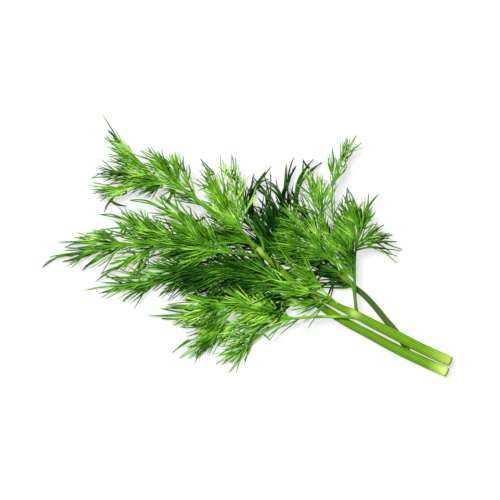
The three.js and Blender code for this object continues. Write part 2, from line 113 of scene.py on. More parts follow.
# %% Table, lamp and world
# These are far larger than the bunch, so their sizes are in metres.
TABLE_SIZE = 40.0
TABLE_COLOUR = (0.2, 0.21, 0.2, 1)
TABLE_GLOW = 0.67
WHITE = (1, 1, 1, 1)
LAMP_SIZE = 0.6
LAMP_PLACE = (-0.35, 0.45, 1.3)
LAMP_POWER = 36.0
WORLD_LIGHT = 0.26


def deselect_all():
    bpy.ops.object.select_all(action="DESELECT")


def add_table():
    deselect_all()
    bpy.ops.mesh.primitive_plane_add(size=TABLE_SIZE, location=(0, 0, 0))
    table = bpy.context.object
    table.name = "table"
    material = bpy.data.materials.new("table_white")
    material.use_nodes = True
    shader = material.node_tree.nodes["Principled BSDF"]
    shader.inputs["Base Color"].default_value = TABLE_COLOUR
    shader.inputs["Roughness"].default_value = 1.0
    shader.inputs["Specular IOR Level"].default_value = 0.0
    shader.inputs["Emission Color"].default_value = WHITE
    shader.inputs["Emission Strength"].default_value = TABLE_GLOW
    table.data.materials.append(material)


def add_light():
    bpy.ops.object.light_add(type="AREA", location=LAMP_PLACE)
    lamp = bpy.context.object
    lamp.name = "soft_lamp"
    lamp.data.shape = "DISK"
    lamp.data.size = LAMP_SIZE
    lamp.data.energy = LAMP_POWER
    lamp.rotation_euler = (-lamp.location).to_track_quat("-Z", "Y").to_euler()
    world = bpy.data.worlds.new("even_light")
    world.use_nodes = True
    background = world.node_tree.nodes["Background"]
    background.inputs["Color"].default_value = WHITE
    background.inputs["Strength"].default_value = WORLD_LIGHT
    bpy.context.scene.world = world
    bpy.context.scene.view_settings.view_transform = "Standard"


add_table()
add_light()
print("table and light are set")

# %% [markdown]
# ## The plan of the bunch
#
# Each stem is a list of points with a radius, from the cut end to the tip. Each leaf is a main rib,
# its side ribs and the single threads at its outline. Their places on the table were chosen one by one,
# because no rule gives the chance way in which a real bunch falls there, and their heights are a guess
# that lays the leaves over each other. What is between them, the thousands of fine threads, follows a
# rule.

# %% Stems, as points x, y, z and radius
STEMS = {
    "stem_upper": [
        (81.5, -46.5, 4.0, 2.1), (70, -41.2, 4.8, 2.05), (60, -36.0, 5.6, 2.0), (50, -31.0, 6.2, 1.8),
        (43.5, -27.5, 6.6, 1.65), (38, -25.0, 6.9, 1.35), (30, -20.8, 7.4, 1.35), (20, -15.5, 8.2, 1.45),
        (12, -8, 8.9, 1.3), (5.5, -2.3, 9.4, 1.25), (0.5, 2.5, 9.8, 1.0),
    ],
    "stem_lower": [
        (80.5, -51, 1.85, 2.05), (70, -46.3, 1.9, 2.0), (60, -41.5, 2.05, 1.9), (50, -36.1, 2.3, 1.75),
        (40, -30.8, 2.6, 1.65), (30, -24.5, 3.0, 1.5), (22, -19.5, 3.4, 1.3),
    ],
    "stem_side": [
        (65.4, -41.3, 1.6, 1.5), (60.9, -35.4, 1.7, 1.45), (56.4, -29.9, 1.8, 1.25), (52.3, -24.9, 2.1, 1.2),
        (48.1, -20.4, 2.4, 1.15), (43, -16.3, 3.0, 1.1), (40, -13.5, 3.2, 1.0), (37, -11.5, 3.4, 0.9),
    ],
}
print("stems:", ", ".join(STEMS))

# %% Leaves, as ribs
# finish is the record's slot, stalk the radius at the root, and bare the share of the main rib that
# bears no twigs. length scales the twigs with their threads, edge is how far from a rib's tip they
# stop, in millimetres, and crowd is the share of the threads that grow. girth scales all radii, curl
# is how much twigs and threads bend, and lean is the way that all twigs lean. tone is how light the
# leaf is painted: partly its own green, partly painted light and shade, lighter for leaves that lie
# in the light and darker for those in shade beneath. lift is painted light: how much lighter the leaf
# is painted towards its tip, where it comes out of the bunch's shade, and below 0 how much darker.
# density is how many twigs the main rib bears for each that would stand there at TWIG_STEP, and each
# side rib starts with its own density. strands are the long single threads that stand clear of the
# rest and give the leaf its outline.
LEAVES = {
    "leaf_top_left": {
        "finish": "leaf_green", "stalk": 1.0, "bare": 0.3, "length": 0.75,
        "edge": 13, "crowd": 0.9, "girth": 1, "curl": 1, "lean": (-0.3, -0.12, 0),
        "tone": 0.58, "lift": 0, "density": 1,
        "main": [
            (1, 2, 9.5), (-7, 8.3, 10.3), (-14.5, 14, 11), (-22, 20, 10.6), (-28.5, 24.5, 10), (-35, 25, 9),
            (-43, 24, 7.5), (-51, 21, 5.5), (-56, 16.5, 2.5), (-57.5, 13, 0.15),
        ],
        "sides": [
            (0.9, [(-33, 25, 9.3), (-41, 31, 9), (-46, 36.5, 7.5), (-50, 41, 6), (-58, 53, 3)]),
            (0.9, [(-35, 25, 9), (-44, 30.5, 8), (-50, 32.5, 6.5), (-55.5, 35, 5)]),
            (0.85, [(-37, 24.8, 8.6), (-40, 26, 8.5), (-48, 28, 6), (-56, 29.5, 3.5), (-63, 27, 0.15)]),
            (0.7, [(-46, 22.9, 6.9), (-53, 22.5, 5), (-61, 21.5, 3)]),
            (1, [(-28.5, 24.5, 10), (-32, 30, 10.5), (-36, 34.5, 9.5), (-42, 38, 8)]),
            (1, [(-26, 22.8, 10.2), (-28, 30, 9), (-32, 36, 7)]),
            (1, [(-19, 17.6, 10.8), (-22.5, 24, 9.5), (-25, 33, 7)]),
            (1, [(-27, 23.5, 10), (-30.5, 19.5, 8)]),
            (1, [(-33, 24.8, 9.3), (-39, 21.3, 6.5)]),
            (0, [(-54.5, 18.2, 4), (-52, 16.8, 3.4), (-47.5, 15.6, 3)]),
        ],
        "strands": [
            [(-47.9, 35.3, 8), (-52.2, 39.7, 7), (-56.7, 43, 6)],
            [(-49.5, 36.7, 8.5), (-53.2, 40.7, 7.8), (-55.9, 44.3, 7)],
            [(-51.2, 41.3, 7), (-53.2, 44, 6.2), (-55.4, 46.5, 5.5)],
            [(-48.2, 37.3, 7), (-52.2, 38.3, 6), (-55.9, 39.7, 5)],
            [(-46.5, 31, 9), (-51.2, 32.7, 8), (-55.4, 33.8, 7)],
            [(-47.9, 32.7, 9), (-51.2, 34.3, 8.2), (-54.2, 35.2, 7.5)],
            [(-47.9, 27.7, 8), (-52.2, 28.3, 6.5), (-60.2, 28.7, 5)],
            [(-49.5, 26.3, 8), (-56.5, 27.3, 6.2), (-62, 27, 4.5)],
            [(-47.9, 24, 7), (-54.5, 22, 5.5), (-62, 20.7, 4)],
            [(-48.2, 25.7, 7), (-52.2, 24.7, 6), (-56.5, 24.2, 5)],
            [(-47.9, 21, 5), (-53.9, 19.7, 4), (-59.2, 20.2, 3)],
            [(-48.9, 23, 6), (-55.5, 22.5, 5), (-60.2, 21.8, 4)],
            [(-53.5, 19, 3), (-55.5, 16.7, 1.9), (-57.5, 13.2, 0.8)],
            [(-54.5, 17.7, 3), (-52.2, 16.3, 2.5), (-47.9, 15.7, 2)],
            [(-33.2, 23.3, 9), (-35.9, 22.7, 8), (-39, 21.2, 7)],
            [(-33.5, 32.3, 10), (-38.2, 34, 9), (-46.4, 37, 8)],
            [(-32.2, 33.3, 10), (-38.2, 35, 9.2), (-42.2, 37.7, 8.5)],
            [(-30.5, 32, 10.5), (-35.5, 35.3, 9.8), (-39.9, 38.2, 9)],
            [(-29.5, 32.3, 11), (-32.2, 34.3, 10), (-35.5, 37.2, 9)],
            [(-26.2, 30.7, 10), (-27.2, 33.3, 9), (-28.2, 36.7, 8)],
            [(-25.2, 30, 10), (-25.9, 32.7, 9.2), (-26.5, 36.7, 8.5)],
            [(-24.5, 30, 10), (-24.9, 33.3, 9.5), (-24.7, 35.7, 9)],
            [(-22.9, 25.7, 9), (-22.2, 29.7, 8.5), (-22.9, 32.3, 8)],
            [(-29.2, 22, 8), (-29.9, 20.7, 7.5), (-30.5, 19.2, 7)],
            [(-35.5, 30, 9), (-38.9, 31.7, 8.5), (-41.9, 32.3, 8)],
        ],
    },
    "leaf_top_plume": {
        "finish": "bright_leaf_green", "stalk": 0.7, "bare": 0.16, "length": 0.66,
        "edge": 11, "crowd": 1, "girth": 1, "curl": 1, "lean": (0, 0, 0),
        "tone": 0.62, "lift": 0, "density": 1,
        "main": [
            (4, -1, 11), (0.5, 3.2, 12.1), (-5, 10, 13), (-8, 15, 13.5), (-11, 21, 13.5), (-14.5, 28, 12.5),
            (-18, 34.5, 10.5),
        ],
        "sides": [
            (1, [(-2, 6.5, 12.4), (-6, 12.5, 14), (-12, 18.5, 14), (-19.5, 24, 11.5)]),
            (1, [(-1, 5.2, 12.4), (-7, 9.5, 14), (-12.5, 13.5, 14.4), (-17.7, 18, 13.4)]),
            (1, [(-6, 11.8, 13), (-9.5, 17.5, 14.5), (-14, 23.5, 14), (-18.5, 30, 11.5)]),
            (0.35, [(-4, 8.8, 12.7), (-6, 15, 14.5), (-8, 22, 15), (-9.5, 29, 14), (-10, 36.5, 11)]),
            (0.4, [(-2.5, 7, 12.5), (-3, 13, 14), (-4, 20, 14.5), (-5.5, 27, 13.5), (-5.5, 36, 10.5)]),
            (0.25, [(-2, 6.4, 12.4), (-0.5, 13, 13.4), (-2, 24, 12.8), (-3, 33, 10)]),
        ],
        "strands": [
            [(-12.5, 28.3, 12), (-14.8, 30.9, 10.8), (-18.3, 34.7, 9.5)],
            [(-14.2, 28.9, 12), (-15.6, 30.6, 11), (-17.9, 32.6, 10)],
            [(-13.9, 26.6, 12), (-15.6, 28.6, 11.2), (-17.8, 30.1, 10.5)],
            [(-13.9, 25.4, 12), (-15.3, 26.6, 11.2), (-17.8, 28, 10.5)],
            [(-12.5, 22, 13), (-14.8, 22.9, 12), (-19.3, 24, 11)],
            [(-13.6, 22.6, 12), (-16.5, 22.6, 11), (-19.1, 21.4, 10)],
            [(-4.5, 26.6, 11), (-3.8, 30.6, 9.8), (-4.1, 35.3, 8.5)],
            [(-4.8, 29.4, 11), (-4.8, 32.9, 10), (-5.6, 36.3, 9)],
            [(-6.2, 27.1, 11), (-7.9, 30, 10), (-9.3, 34.3, 9)],
            [(-5.6, 26.6, 11), (-8.5, 29.1, 10.2), (-11.1, 31.4, 9.5)],
            [(-3.1, 19.7, 12), (-3.9, 24.3, 11), (-3.6, 27.1, 10)],
            [(-13.6, 16, 11), (-15.6, 16.9, 10), (-17.6, 18, 9)],
        ],
    },
    "leaf_top_slim": {
        "finish": "leaf_green", "stalk": 0.55, "bare": 0.3, "length": 0.7,
        "edge": 6, "crowd": 0.8, "girth": 1, "curl": 1, "lean": (0, 0, 0),
        "tone": 0.5, "lift": 0, "density": 0.45,
        "main": [
            (7.4, -3.2, 9.9), (6.6, 1.5, 10), (4.5, 4.5, 9.8), (1, 10, 9.6), (-1.5, 16, 9.3),
            (-3.5, 23, 8.8), (-4, 32, 7),
        ],
        "sides": [
            (0.3, [(0.4, 11.4, 9.5), (1, 16, 9.2), (0.5, 21, 8.2)]),
            (0.3, [(-1, 14.8, 9.3), (0, 19, 9), (-0.6, 24, 7.8)]),
        ],
        "strands": [],
    },
    "leaf_left": {
        "finish": "leaf_green", "stalk": 0.65, "bare": 0.2, "length": 0.72,
        "edge": 22, "crowd": 0.9, "girth": 1.22, "curl": 1, "lean": (-0.1, 0, 0),
        "tone": 0.54, "lift": 0, "density": 0.65,
        "main": [
            (8, -4.8, 8.9), (4, -4.2, 8.4), (-5, -3.2, 8.4), (-18, -2, 8.6), (-34, 0, 8.2), (-40, 0.5, 7.4),
            (-47, 0, 6.2), (-53, -1, 5), (-60, -2, 4), (-66, -3.5, 3), (-74, -4.5, 2), (-79, -6, 1.2),
            (-82.8, -9, 0.15),
        ],
        "sides": [
            (0.35, [(-46, 0.1, 6.4), (-53, 1, 5.6), (-60, 1.6, 4.6), (-68, 1.4, 3.2), (-76, 1.2, 1.6)]),
            (1, [(-31, -0.4, 8.3), (-39, 4, 8.3), (-44, 7.5, 7), (-49, 10.3, 5.6), (-59.5, 12.5, 3)]),
            (0.8, [(-28, -0.8, 8.4), (-34, 3, 9), (-38.5, 6, 8.6), (-43, 9, 7.6), (-50, 13.2, 5.5)]),
            (0.7, [(-24, -1.3, 8.5), (-30, 3, 9.4), (-35, 6.5, 9.2), (-39.5, 10, 8.2), (-46.7, 14.3, 6)]),
            (0.3, [(-40, 0.5, 7.4), (-48, 4, 6.5), (-57, 6.5, 4)]),
            (0.3, [(-49, -0.3, 5.8), (-56, 3, 5), (-64.5, 5, 3)]),
            (0.1, [(-62, 1.6, 4.2), (-69.3, 3.2, 2.4)]),
            (0.1, [(-58, -1.7, 4.3), (-66, -1.4, 3.2), (-73, -1, 1.8)]),
            (0.1, [(-63, -2.7, 3.5), (-69, -5.2, 2.2), (-74.5, -6.7, 1)]),
            (0.25, [(-49, -0.3, 5.8), (-55, -3.2, 4.4), (-59, -5, 3.6), (-66.5, -10.5, 1)]),
            (0.45, [(-33, -0.2, 8.2), (-38, -2, 7.6), (-45, -5, 6.2), (-52, -9, 4.6), (-61, -15, 2.6)]),
            (0.3, [(-37, 0.2, 7.8), (-41, -5, 6.4), (-44, -9.5, 5.4), (-47, -14.5, 4.6)]),
            (2.2, [(-11, -2.6, 8.4), (-17, 2.5, 10), (-23, 6.5, 11), (-30, 9.5, 10.5), (-37.5, 11.5, 9)]),
            (2.2, [(-14, -2.4, 8.5), (-20, 1.5, 10.5), (-27, 4, 11), (-34, 5, 10.4)]),
            (0.4, [(-8, -2.9, 8.4), (-14, 3.4, 9.8), (-19, 8.6, 10.2), (-24, 13.5, 9), (-28.8, 21, 6.8)]),
            (0.2, [(-17, 7, 10), (-25, 11, 9.4), (-32, 14.3, 8.4), (-38, 16.5, 7.2), (-46.8, 18, 5.4)]),
            (0.2, [(-21, 9.6, 9.8), (-27, 13.5, 8.8), (-34.5, 19.5, 6.6)]),
            (0.7, [(3, 0, 9.2), (-2, 2.4, 8.2), (-9, 3.6, 7.2), (-16, 5.4, 6.8)]),
            (0.6, [(0, -3.8, 8.4), (-4, 2, 7), (-9, 7, 6.4), (-15, 10.5, 6)]),
            (1.6, [(-12, -2.5, 8.4), (-19, -4.2, 7.2), (-27, -4.4, 6.4), (-34, -6, 5.4)]),
            (1.5, [(-16.2, -2, 8), (-27, -2, 6.4), (-38.2, -4.4, 5)]),
            (0.8, [(-5.4, -3.2, 8), (-11, 2.8, 6.4), (-17.8, 12.8, 5.4)]),
        ],
        "strands": [
            [(-18.9, 9.7, 7), (-25.5, 13, 6.7), (-30.2, 17, 6.3), (-34.2, 20.5, 6)],
            [(-30.2, 12.7, 7), (-33.5, 14.7, 6.5), (-39.5, 17.7, 6), (-43.5, 18.2, 5.5), (-46.9, 18, 5)],
            [(-30.9, 13.3, 6), (-33.2, 17.3, 6), (-34.5, 19.5, 6)],
            [(-26.5, 12, 6), (-27.9, 17.3, 6.5), (-29, 21.5, 7)],
            [(-27.5, 11, 7), (-32.9, 12.3, 6.2), (-39.2, 13, 5.5)],
            [(-28.9, 8, 8), (-32.2, 8.8, 7.2), (-36.4, 10.3, 6.5)],
            [(-21.9, 10.7, 7), (-22.2, 14.7, 6.8), (-23.9, 15.7, 6.5)],
            [(-43.5, 6, 7), (-48.2, 10, 6), (-53.9, 12.3, 5), (-59.4, 12.3, 4)],
            [(-42.2, 6, 8), (-44.9, 11.3, 7.5), (-46.5, 14.3, 7)],
            [(-44.9, 8.7, 8), (-47.5, 11.3, 7.2), (-50, 13, 6.5)],
            [(-39.5, 7.3, 8), (-40.9, 11.3, 7.5), (-42.4, 14.7, 7)],
            [(-38.2, 6.7, 8.5), (-39.9, 11.3, 8), (-40.6, 14.5, 7.5)],
            [(-37.2, 6, 9), (-38.9, 10, 8.5), (-39.2, 13, 8)],
            [(-48.2, 6.3, 7), (-50.5, 8.3, 6.2), (-52.6, 9.5, 5.5)],
            [(-60.9, 0.3, 4), (-64.9, 1.2, 3.3), (-67.5, 1.3, 2.5), (-76.2, 1.2, 1.8)],
            [(-62.9, 3, 4), (-65.5, 3, 3.2), (-69.2, 2.9, 2.5)],
            [(-56.2, 3, 4.5), (-59.5, 4.7, 3.8), (-64.4, 4.7, 3)],
            [(-54.2, 4.3, 5), (-57.5, 5.5, 4.2), (-61.7, 5.8, 3.4)],
            [(-49.5, 6.7, 5), (-53.5, 6.7, 4.5), (-57.2, 6.3, 4)],
            [(-66.2, 1, 3), (-69.5, 0.5, 2.3), (-73.2, -1, 1.6)],
            [(-62.2, -0.7, 3.4), (-66.2, -1, 2.9), (-69.2, -1.3, 2.5), (-71.9, -1.2, 2)],
            [(-56.2, -1, 4), (-62.9, -3, 3.3), (-69.5, -3.7, 2.6), (-75.2, -4, 1.9), (-79.9, -5, 1.2)],
            [(-71.2, -3.8, 2.6), (-75.2, -4.3, 1.9), (-78.5, -6.3, 1.1), (-82.7, -9.2, 0.4)],
            [(-60.2, -2.7, 3.5), (-64.5, -4.3, 2.7), (-69.5, -6, 2), (-74.5, -6.8, 1.2)],
            [
                (-50.9, -1.7, 4.5), (-56.2, -3.7, 3.6), (-60.2, -5, 2.6), (-63.2, -7.3, 1.7),
                (-66.5, -10.5, 0.8),
            ],
            [(-46.2, -6.7, 4), (-50.2, -8.7, 3.2), (-56.2, -11.3, 2.3), (-60.9, -15, 1.5)],
            [(-49.5, -8, 4), (-54.2, -9.7, 3), (-58.9, -11.7, 2)],
            [(-48.5, -6, 4), (-52.9, -7, 3.5), (-54.9, -7.5, 3)],
            [(-44.9, -3.3, 5), (-49.5, -3, 4.5), (-51.9, -3.5, 4)],
            [(-41.2, -6.7, 5), (-44.5, -10, 4.3), (-46.5, -12.7, 3.7), (-47.2, -14.7, 3)],
            [(-40.2, -8, 4), (-42.9, -10.7, 3.3), (-45.2, -13.3, 2.6)],
            [(-0.5, 0.7, 8), (-3.9, 1.8, 7.3), (-7.2, 1, 6.7), (-10.2, -1.3, 6)],
            [(-21.5, -7.3, 6), (-27.9, -4.3, 5.5), (-33.9, -3.8, 5), (-38.9, -5.3, 4.5), (-41.5, -8.7, 4)],
        ],
    },
    "leaf_low_left": {
        "finish": "dark_leaf_green", "stalk": 0.9, "bare": 0.2, "length": 0.85,
        "edge": 16, "crowd": 0.85, "girth": 1.25, "curl": 1, "lean": (-0.1, -0.05, 0),
        "tone": 0.4, "lift": 0.6, "density": 1.2,
        "main": [
            (23.5, -20.4, 3.4), (16, -16, 3.6), (10, -13, 3.8), (0, -10.5, 4.2), (-15, -11, 4.4),
            (-25, -12, 4), (-35, -14, 3.2), (-44, -17, 2), (-50, -18.2, 1.2), (-59, -19.5, 0.15),
        ],
        "sides": [
            (0.4, [(-30, -13, 3.6), (-40, -13, 3), (-48, -13, 2.2), (-57, -13, 1)]),
            (0.3, [(-38, -15, 2.8), (-50, -16.2, 2.2), (-58, -17, 1.4), (-65, -18.2, 0.6)]),
            (0.15, [(-36, -14.4, 3), (-46, -20, 1.5), (-50, -23.3, 0.7)]),
            (1.1, [(-20, -11.5, 4.2), (-30, -10.5, 4.4), (-36, -9.6, 3.8), (-42.5, -9.5, 3)]),
            (1.2, [(-12, -10.9, 4.4), (-22, -8.3, 5.4), (-30, -6.8, 5), (-37, -5.5, 4)]),
            (0.5, [(-20, -11.5, 4.2), (-27, -14, 3), (-32, -17.5, 1.8), (-35, -20.5, 0.8)]),
            (0.6, [(-5, -10.5, 4.3), (-15, -13.5, 3.4), (-20, -15.5, 2.4), (-26.5, -20, 0.9)]),
            (1.3, [(16, -16, 3.6), (12, -19.5, 3.4), (2, -21, 3), (-8, -21.5, 2.4), (-25, -20.5, 0.6)]),
            (0.6, [(-8, -21.5, 2.4), (-16, -23, 1.6), (-24.5, -22.5, 0.7)]),
            (0.45, [(6, -11.6, 4), (0, -8, 4.8), (-6, -6, 4.8), (-15, -5.6, 4.4)]),
            (0.6, [(2, -11, 4.2), (-6, -8.6, 4.8), (-14, -7.6, 4.6), (-22, -6.4, 4)]),
            (1.3, [(8, -12.6, 3.8), (2, -14.4, 3.4), (-4, -16.2, 2.8), (-12, -18.2, 1.8)]),
            (1.3, [(-10, -10.8, 4.4), (-18, -13.4, 3.4), (-26, -14.8, 2.6), (-33, -16.8, 1.4)]),
            (1.3, [(23.5, -20.4, 3.4), (18, -21.6, 4), (12, -22.6, 3.8), (6, -22.8, 3.2)]),
            (0.6, [(3.8, -10.8, 4.6), (-6.2, -14.8, 4.2), (-18.2, -18.8, 2.6)]),
            (0.8, [(-8.2, -12.8, 4.4), (-21.4, -14, 3.2), (-31.4, -16, 2)]),
            (1.1, [(6.6, -13.2, 4.4), (-2.2, -14.4, 4), (-13.4, -16.8, 3)]),
            (0.8, [(-16.2, -12.4, 4.4), (-24.2, -13.6, 3.4), (-31, -14.8, 2.2)]),
            (0.7, [(-7, -14.8, 4), (-13.4, -18.4, 2.8), (-19.8, -20.8, 1.8)]),
        ],
        "strands": [
            [(-42.9, -13.3, 2.6), (-49.5, -13.3, 1.9), (-56.9, -13, 1.2)],
            [(-44.5, -15.8, 2.4), (-49.5, -14.3, 1.9), (-53.2, -13.7, 1.5)],
            [(-43.5, -15.7, 2), (-51.2, -16.5, 1.5), (-58.9, -17, 1), (-64.9, -18.2, 0.5)],
            [(-46.2, -16.7, 1.6), (-52.9, -18, 1.1), (-58.5, -19.5, 0.5)],
            [
                (-38.9, -16.3, 1.5), (-42.9, -18.3, 1.2), (-46.9, -20.3, 0.9), (-48.9, -21.7, 0.7),
                (-50, -23.3, 0.4),
            ],
            [(-42.9, -17.3, 1.8), (-46.9, -17.8, 1.4), (-50.2, -18, 1)],
            [(-26.2, -13.3, 2), (-30.5, -16.3, 1.2), (-34.9, -20, 0.5)],
            [(-15.5, -13.7, 3), (-18.9, -14.7, 2.2), (-22.2, -17.3, 1.4), (-26.2, -20.5, 0.6)],
            [(-30.5, -10.3, 4), (-35.5, -9.3, 3.5), (-42.2, -8.7, 3)],
            [(-33.9, -13.3, 3), (-37.2, -12, 2.7), (-42.2, -10.2, 2.4)],
        ],
    },
    "leaf_bottom": {
        "finish": "bright_leaf_green", "stalk": 0.6, "bare": 0.27, "length": 0.7,
        "edge": 16, "crowd": 0.9, "girth": 1.1, "curl": 1, "lean": (-0.15, -0.1, 0),
        "tone": 0.93, "lift": -0.38, "density": 0.7,
        "main": [
            (46, -29.6, 6.3), (41, -28.9, 6.2), (33, -28.8, 5.8), (25, -29, 5.6), (17.5, -29.5, 5.6),
            (10, -27, 6.5), (3, -25, 7.2), (-5, -23.7, 7.2), (-12, -24.5, 6.6), (-18, -26.5, 5.6),
            (-25, -28.5, 4.2), (-40, -28.6, 1.2),
        ],
        "sides": [
            (0.35, [(-9, -24.2, 7), (-16, -23, 6.4), (-24, -23, 5), (-32, -24, 3)]),
            (0.15, [(-14, -25.2, 6.4), (-25, -25.6, 4.6), (-34.8, -25.7, 2.2)]),
            (0.6, [(-8, -24, 7), (-14, -27, 5.8), (-22, -30, 4), (-29.5, -32.5, 1.8)]),
            (0.7, [(-2, -24, 7.2), (-8, -27.5, 6), (-16, -30.5, 4.6), (-26.5, -33.4, 2)]),
            (1, [(5, -25.5, 7), (-3, -21.6, 7.6), (-11, -20.8, 6.6)]),
            (0.8, [
                (17.5, -29.5, 5.6), (10, -30.4, 4.8), (-5, -32, 3.8), (-12, -34, 3.2), (-22, -38.4, 2),
                (-30, -43.5, 0.5),
            ]),
            (1, [(-7, -32.5, 3.7), (-15, -33.3, 3), (-24.5, -35.7, 1.6)]),
            (1, [(-8, -32.8, 3.6), (-15, -38, 2.4), (-21, -42.5, 1.4), (-27, -46, 0.6)]),
            (0.35, [(-4, -32, 3.8), (-10, -36.5, 2.8), (-15, -41.5, 1.6), (-20.3, -46, 0.7)]),
            (0.2, [(3, -31, 4.3), (-4, -35, 3.4), (-11, -38.5, 2.2), (-16, -42, 1.2)]),
            (0.2, [(17.5, -29.5, 5.6), (10, -33.8, 4), (4, -37.4, 2.4), (2, -41, 1.4), (0, -46.5, 0.15)]),
            (0.5, [(6, -36, 3), (0, -37.2, 2.6), (-9, -38.6, 1.4)]),
            (0.6, [(3.4, -38, 2.2), (-2, -41.5, 1.5), (-7, -44.5, 0.9), (-12.2, -48.5, 0.15)]),
            (0.6, [(2.6, -39.6, 1.8), (-2, -44, 1), (-6, -48, 0.5)]),
            (0, [(7, -35.6, 3.1), (9.7, -38.2, 2.2)]),
            (0.4, [(17.5, -29.5, 5.6), (15.5, -26, 5.2), (14.7, -22.5, 4.8)]),
            (0.6, [(15, -28.5, 5.8), (11, -25, 6.2), (6, -22, 6.2), (1, -20.5, 5.8)]),
            (0.5, [(13, -28, 6), (8, -23.6, 6.6), (3, -22.4, 6.6)]),
            (1.6, [(16.6, -28.4, 6), (6.6, -27.6, 6.4), (-3.8, -26.4, 6)]),
            (1.6, [(10.6, -30, 5), (5, -32.4, 4.4), (-1, -34.8, 3.6)]),
            (1.5, [(12.6, -29.2, 6), (4.2, -28, 6.4), (-4.6, -28.8, 5.6)]),
            (1.5, [(10.6, -27.2, 6.8), (2.6, -25.6, 7), (-7, -25.6, 6)]),
        ],
        "strands": [
            [(-11, -22.8, 6), (-18.2, -21.6, 5.2), (-24.8, -20.2, 4.5)],
            [(-14.2, -23.6, 5.5), (-19.8, -22.4, 4.8), (-24.6, -21.4, 4)],
            [(-16.2, -25.2, 5), (-24.2, -24.6, 3.9), (-31.6, -24.2, 2.8)],
            [(-23, -27.6, 4), (-28.2, -26.8, 3), (-34.6, -25.6, 2)],
            [(-16.6, -27.6, 4), (-26.2, -28, 3.1), (-34.2, -28.4, 2.1), (-39.8, -28.6, 1.2)],
            [(-22.2, -29.6, 3.4), (-28.2, -29.8, 2.6), (-34.2, -29.6, 1.8)],
            [(-23.8, -30.8, 3), (-26.6, -31.6, 2.5), (-29.6, -32.2, 2)],
            [(-19.8, -30, 3.4), (-23.4, -32, 2.7), (-26.6, -33.4, 2)],
            [(-23, -38.4, 2.4), (-26.2, -40.6, 1.4), (-29.8, -43.8, 0.5)],
            [(-17.4, -38, 2.4), (-22.2, -42, 1.4), (-27, -45.8, 0.5)],
            [(-18.2, -39.6, 2.4), (-20.6, -42.8, 1.5), (-23.4, -46, 0.6)],
            [(-16.2, -38.8, 2.2), (-18.6, -42, 1.5), (-20.4, -45.6, 0.8)],
            [(-14.6, -38.4, 2.2), (-16.6, -42, 1.4), (-19, -46, 0.6)],
            [(-13.4, -37.6, 2.2), (-15, -40.4, 1.8), (-16.2, -42.4, 1.4)],
            [(-10.2, -36.4, 2.2), (-11, -38, 1.9), (-11.6, -39.6, 1.6)],
            [(-0.2, -36.8, 3), (-4.6, -37.2, 2.5), (-8.8, -37.8, 2)],
            [(-0.2, -38, 2.6), (-3.8, -38.8, 2.2), (-7.4, -39.4, 1.8)],
            [(-2.2, -40, 2), (-7, -42, 1.4), (-10.8, -44.6, 0.8)],
            [(-2.2, -41.6, 1.6), (-7.4, -44.8, 1), (-12.2, -48.6, 0.4)],
            [(0.2, -41.2, 1.5), (-3, -44.8, 1), (-6.6, -47.6, 0.5)],
            [(1.4, -40.8, 1.5), (-1.4, -44.4, 0.9), (-4.6, -48, 0.4)],
            [(2.2, -40.4, 1.8), (1, -43.6, 1.3), (-0.6, -46.8, 0.8)],
            [(6.8, -35.4, 3), (8.2, -36.8, 2.5), (9.8, -38.2, 2)],
            [(15.4, -28.4, 6), (14.4, -26, 6), (14.6, -23.2, 6)],
            [(-20.2, -27.6, 3.4), (-26.2, -29.8, 2.4), (-30.2, -30, 1.6), (-34.2, -29.9, 0.9)],
            [(-19.8, -27, 3.6), (-22.2, -30.4, 2.4), (-26.6, -33.3, 1.2)],
            [(-20.6, -27.2, 3.4), (-24.9, -30, 2.2), (-29.2, -32.3, 1.2)],
            [(-13.4, -25.6, 5.6), (-15.5, -23.3, 5), (-20.2, -21.3, 4), (-24.5, -20.3, 3)],
            [(-16.2, -26.4, 5), (-19.5, -24.7, 4), (-25.5, -24.3, 2.6), (-31.2, -24.2, 1.4)],
            [(-18.2, -27.2, 4.4), (-23.8, -26.2, 3), (-29, -25.2, 2), (-33, -25, 1.2)],
        ],
    },
    "leaf_right": {
        "finish": "leaf_green", "stalk": 0.7, "bare": 0.62, "length": 0.65,
        "edge": 9, "crowd": 0.7, "girth": 1, "curl": 1, "lean": (0, 0, 0),
        "tone": 0.5, "lift": 0, "density": 0.8,
        "main": [
            (44.8, -27.3, 7.1), (44.2, -24.5, 7.2), (43.8, -20, 7.6), (43.6, -12, 8.2), (43.7, -5, 8.8),
            (44.5, 2, 9.2), (45, 8, 9.4), (44, 12, 9), (42.5, 16, 8.2), (40.8, 23.5, 6),
        ],
        "sides": [
            (0.25, [(44.5, 1.5, 9.2), (46.5, 6, 9.4), (48, 13, 8), (50.5, 17.5, 6.6), (54, 21, 5)]),
            (0.45, [(44.4, 0.5, 9.1), (49, 3.7, 8.6), (52, 6, 7.6), (56, 8.5, 6)]),
            (0.4, [(44.3, -0.7, 9), (50, 2.4, 7.6), (54.5, 4.4, 6), (59.5, 4.2, 4.4)]),
            (0.3, [(44.3, -1, 9), (49, 0.4, 7.6), (54, 1, 5.6), (61.5, 1.3, 3)]),
            (0.2, [(44.2, -2, 9), (49, -1, 7), (56, -1.5, 4.2), (63.5, -2.3, 0.15)]),
            (1.4, [(45, 7, 9.4), (42, 12, 9.8), (38, 17, 9)]),
            (1.8, [(45.6, 4.4, 9.3), (46.5, 9, 8.2), (46, 16, 6.4)]),
            (1.5, [(44, -6, 8.7), (41.5, -1, 8.6), (39.4, 5, 8.4), (38, 11, 8)]),
            (1.5, [(43.9, -10, 8.4), (41.2, -5, 7.8), (39, 0, 7.4), (37.6, 6, 7)]),
            (1.5, [(43.8, -14, 8), (41.8, -10, 6.8), (40, -6, 6), (38.6, -1, 5.6)]),
            (1.5, [(44.4, 0, 9), (42.5, 5, 9), (41, 10, 8.6), (40, 15, 8)]),
            (1.4, [(43, -6.8, 9), (39.8, 2, 9), (37, 13.2, 8)]),
            (1.4, [(43.8, 2, 9.3), (39.8, 9.2, 9.2), (36.6, 16.8, 8)]),
        ],
        "strands": [
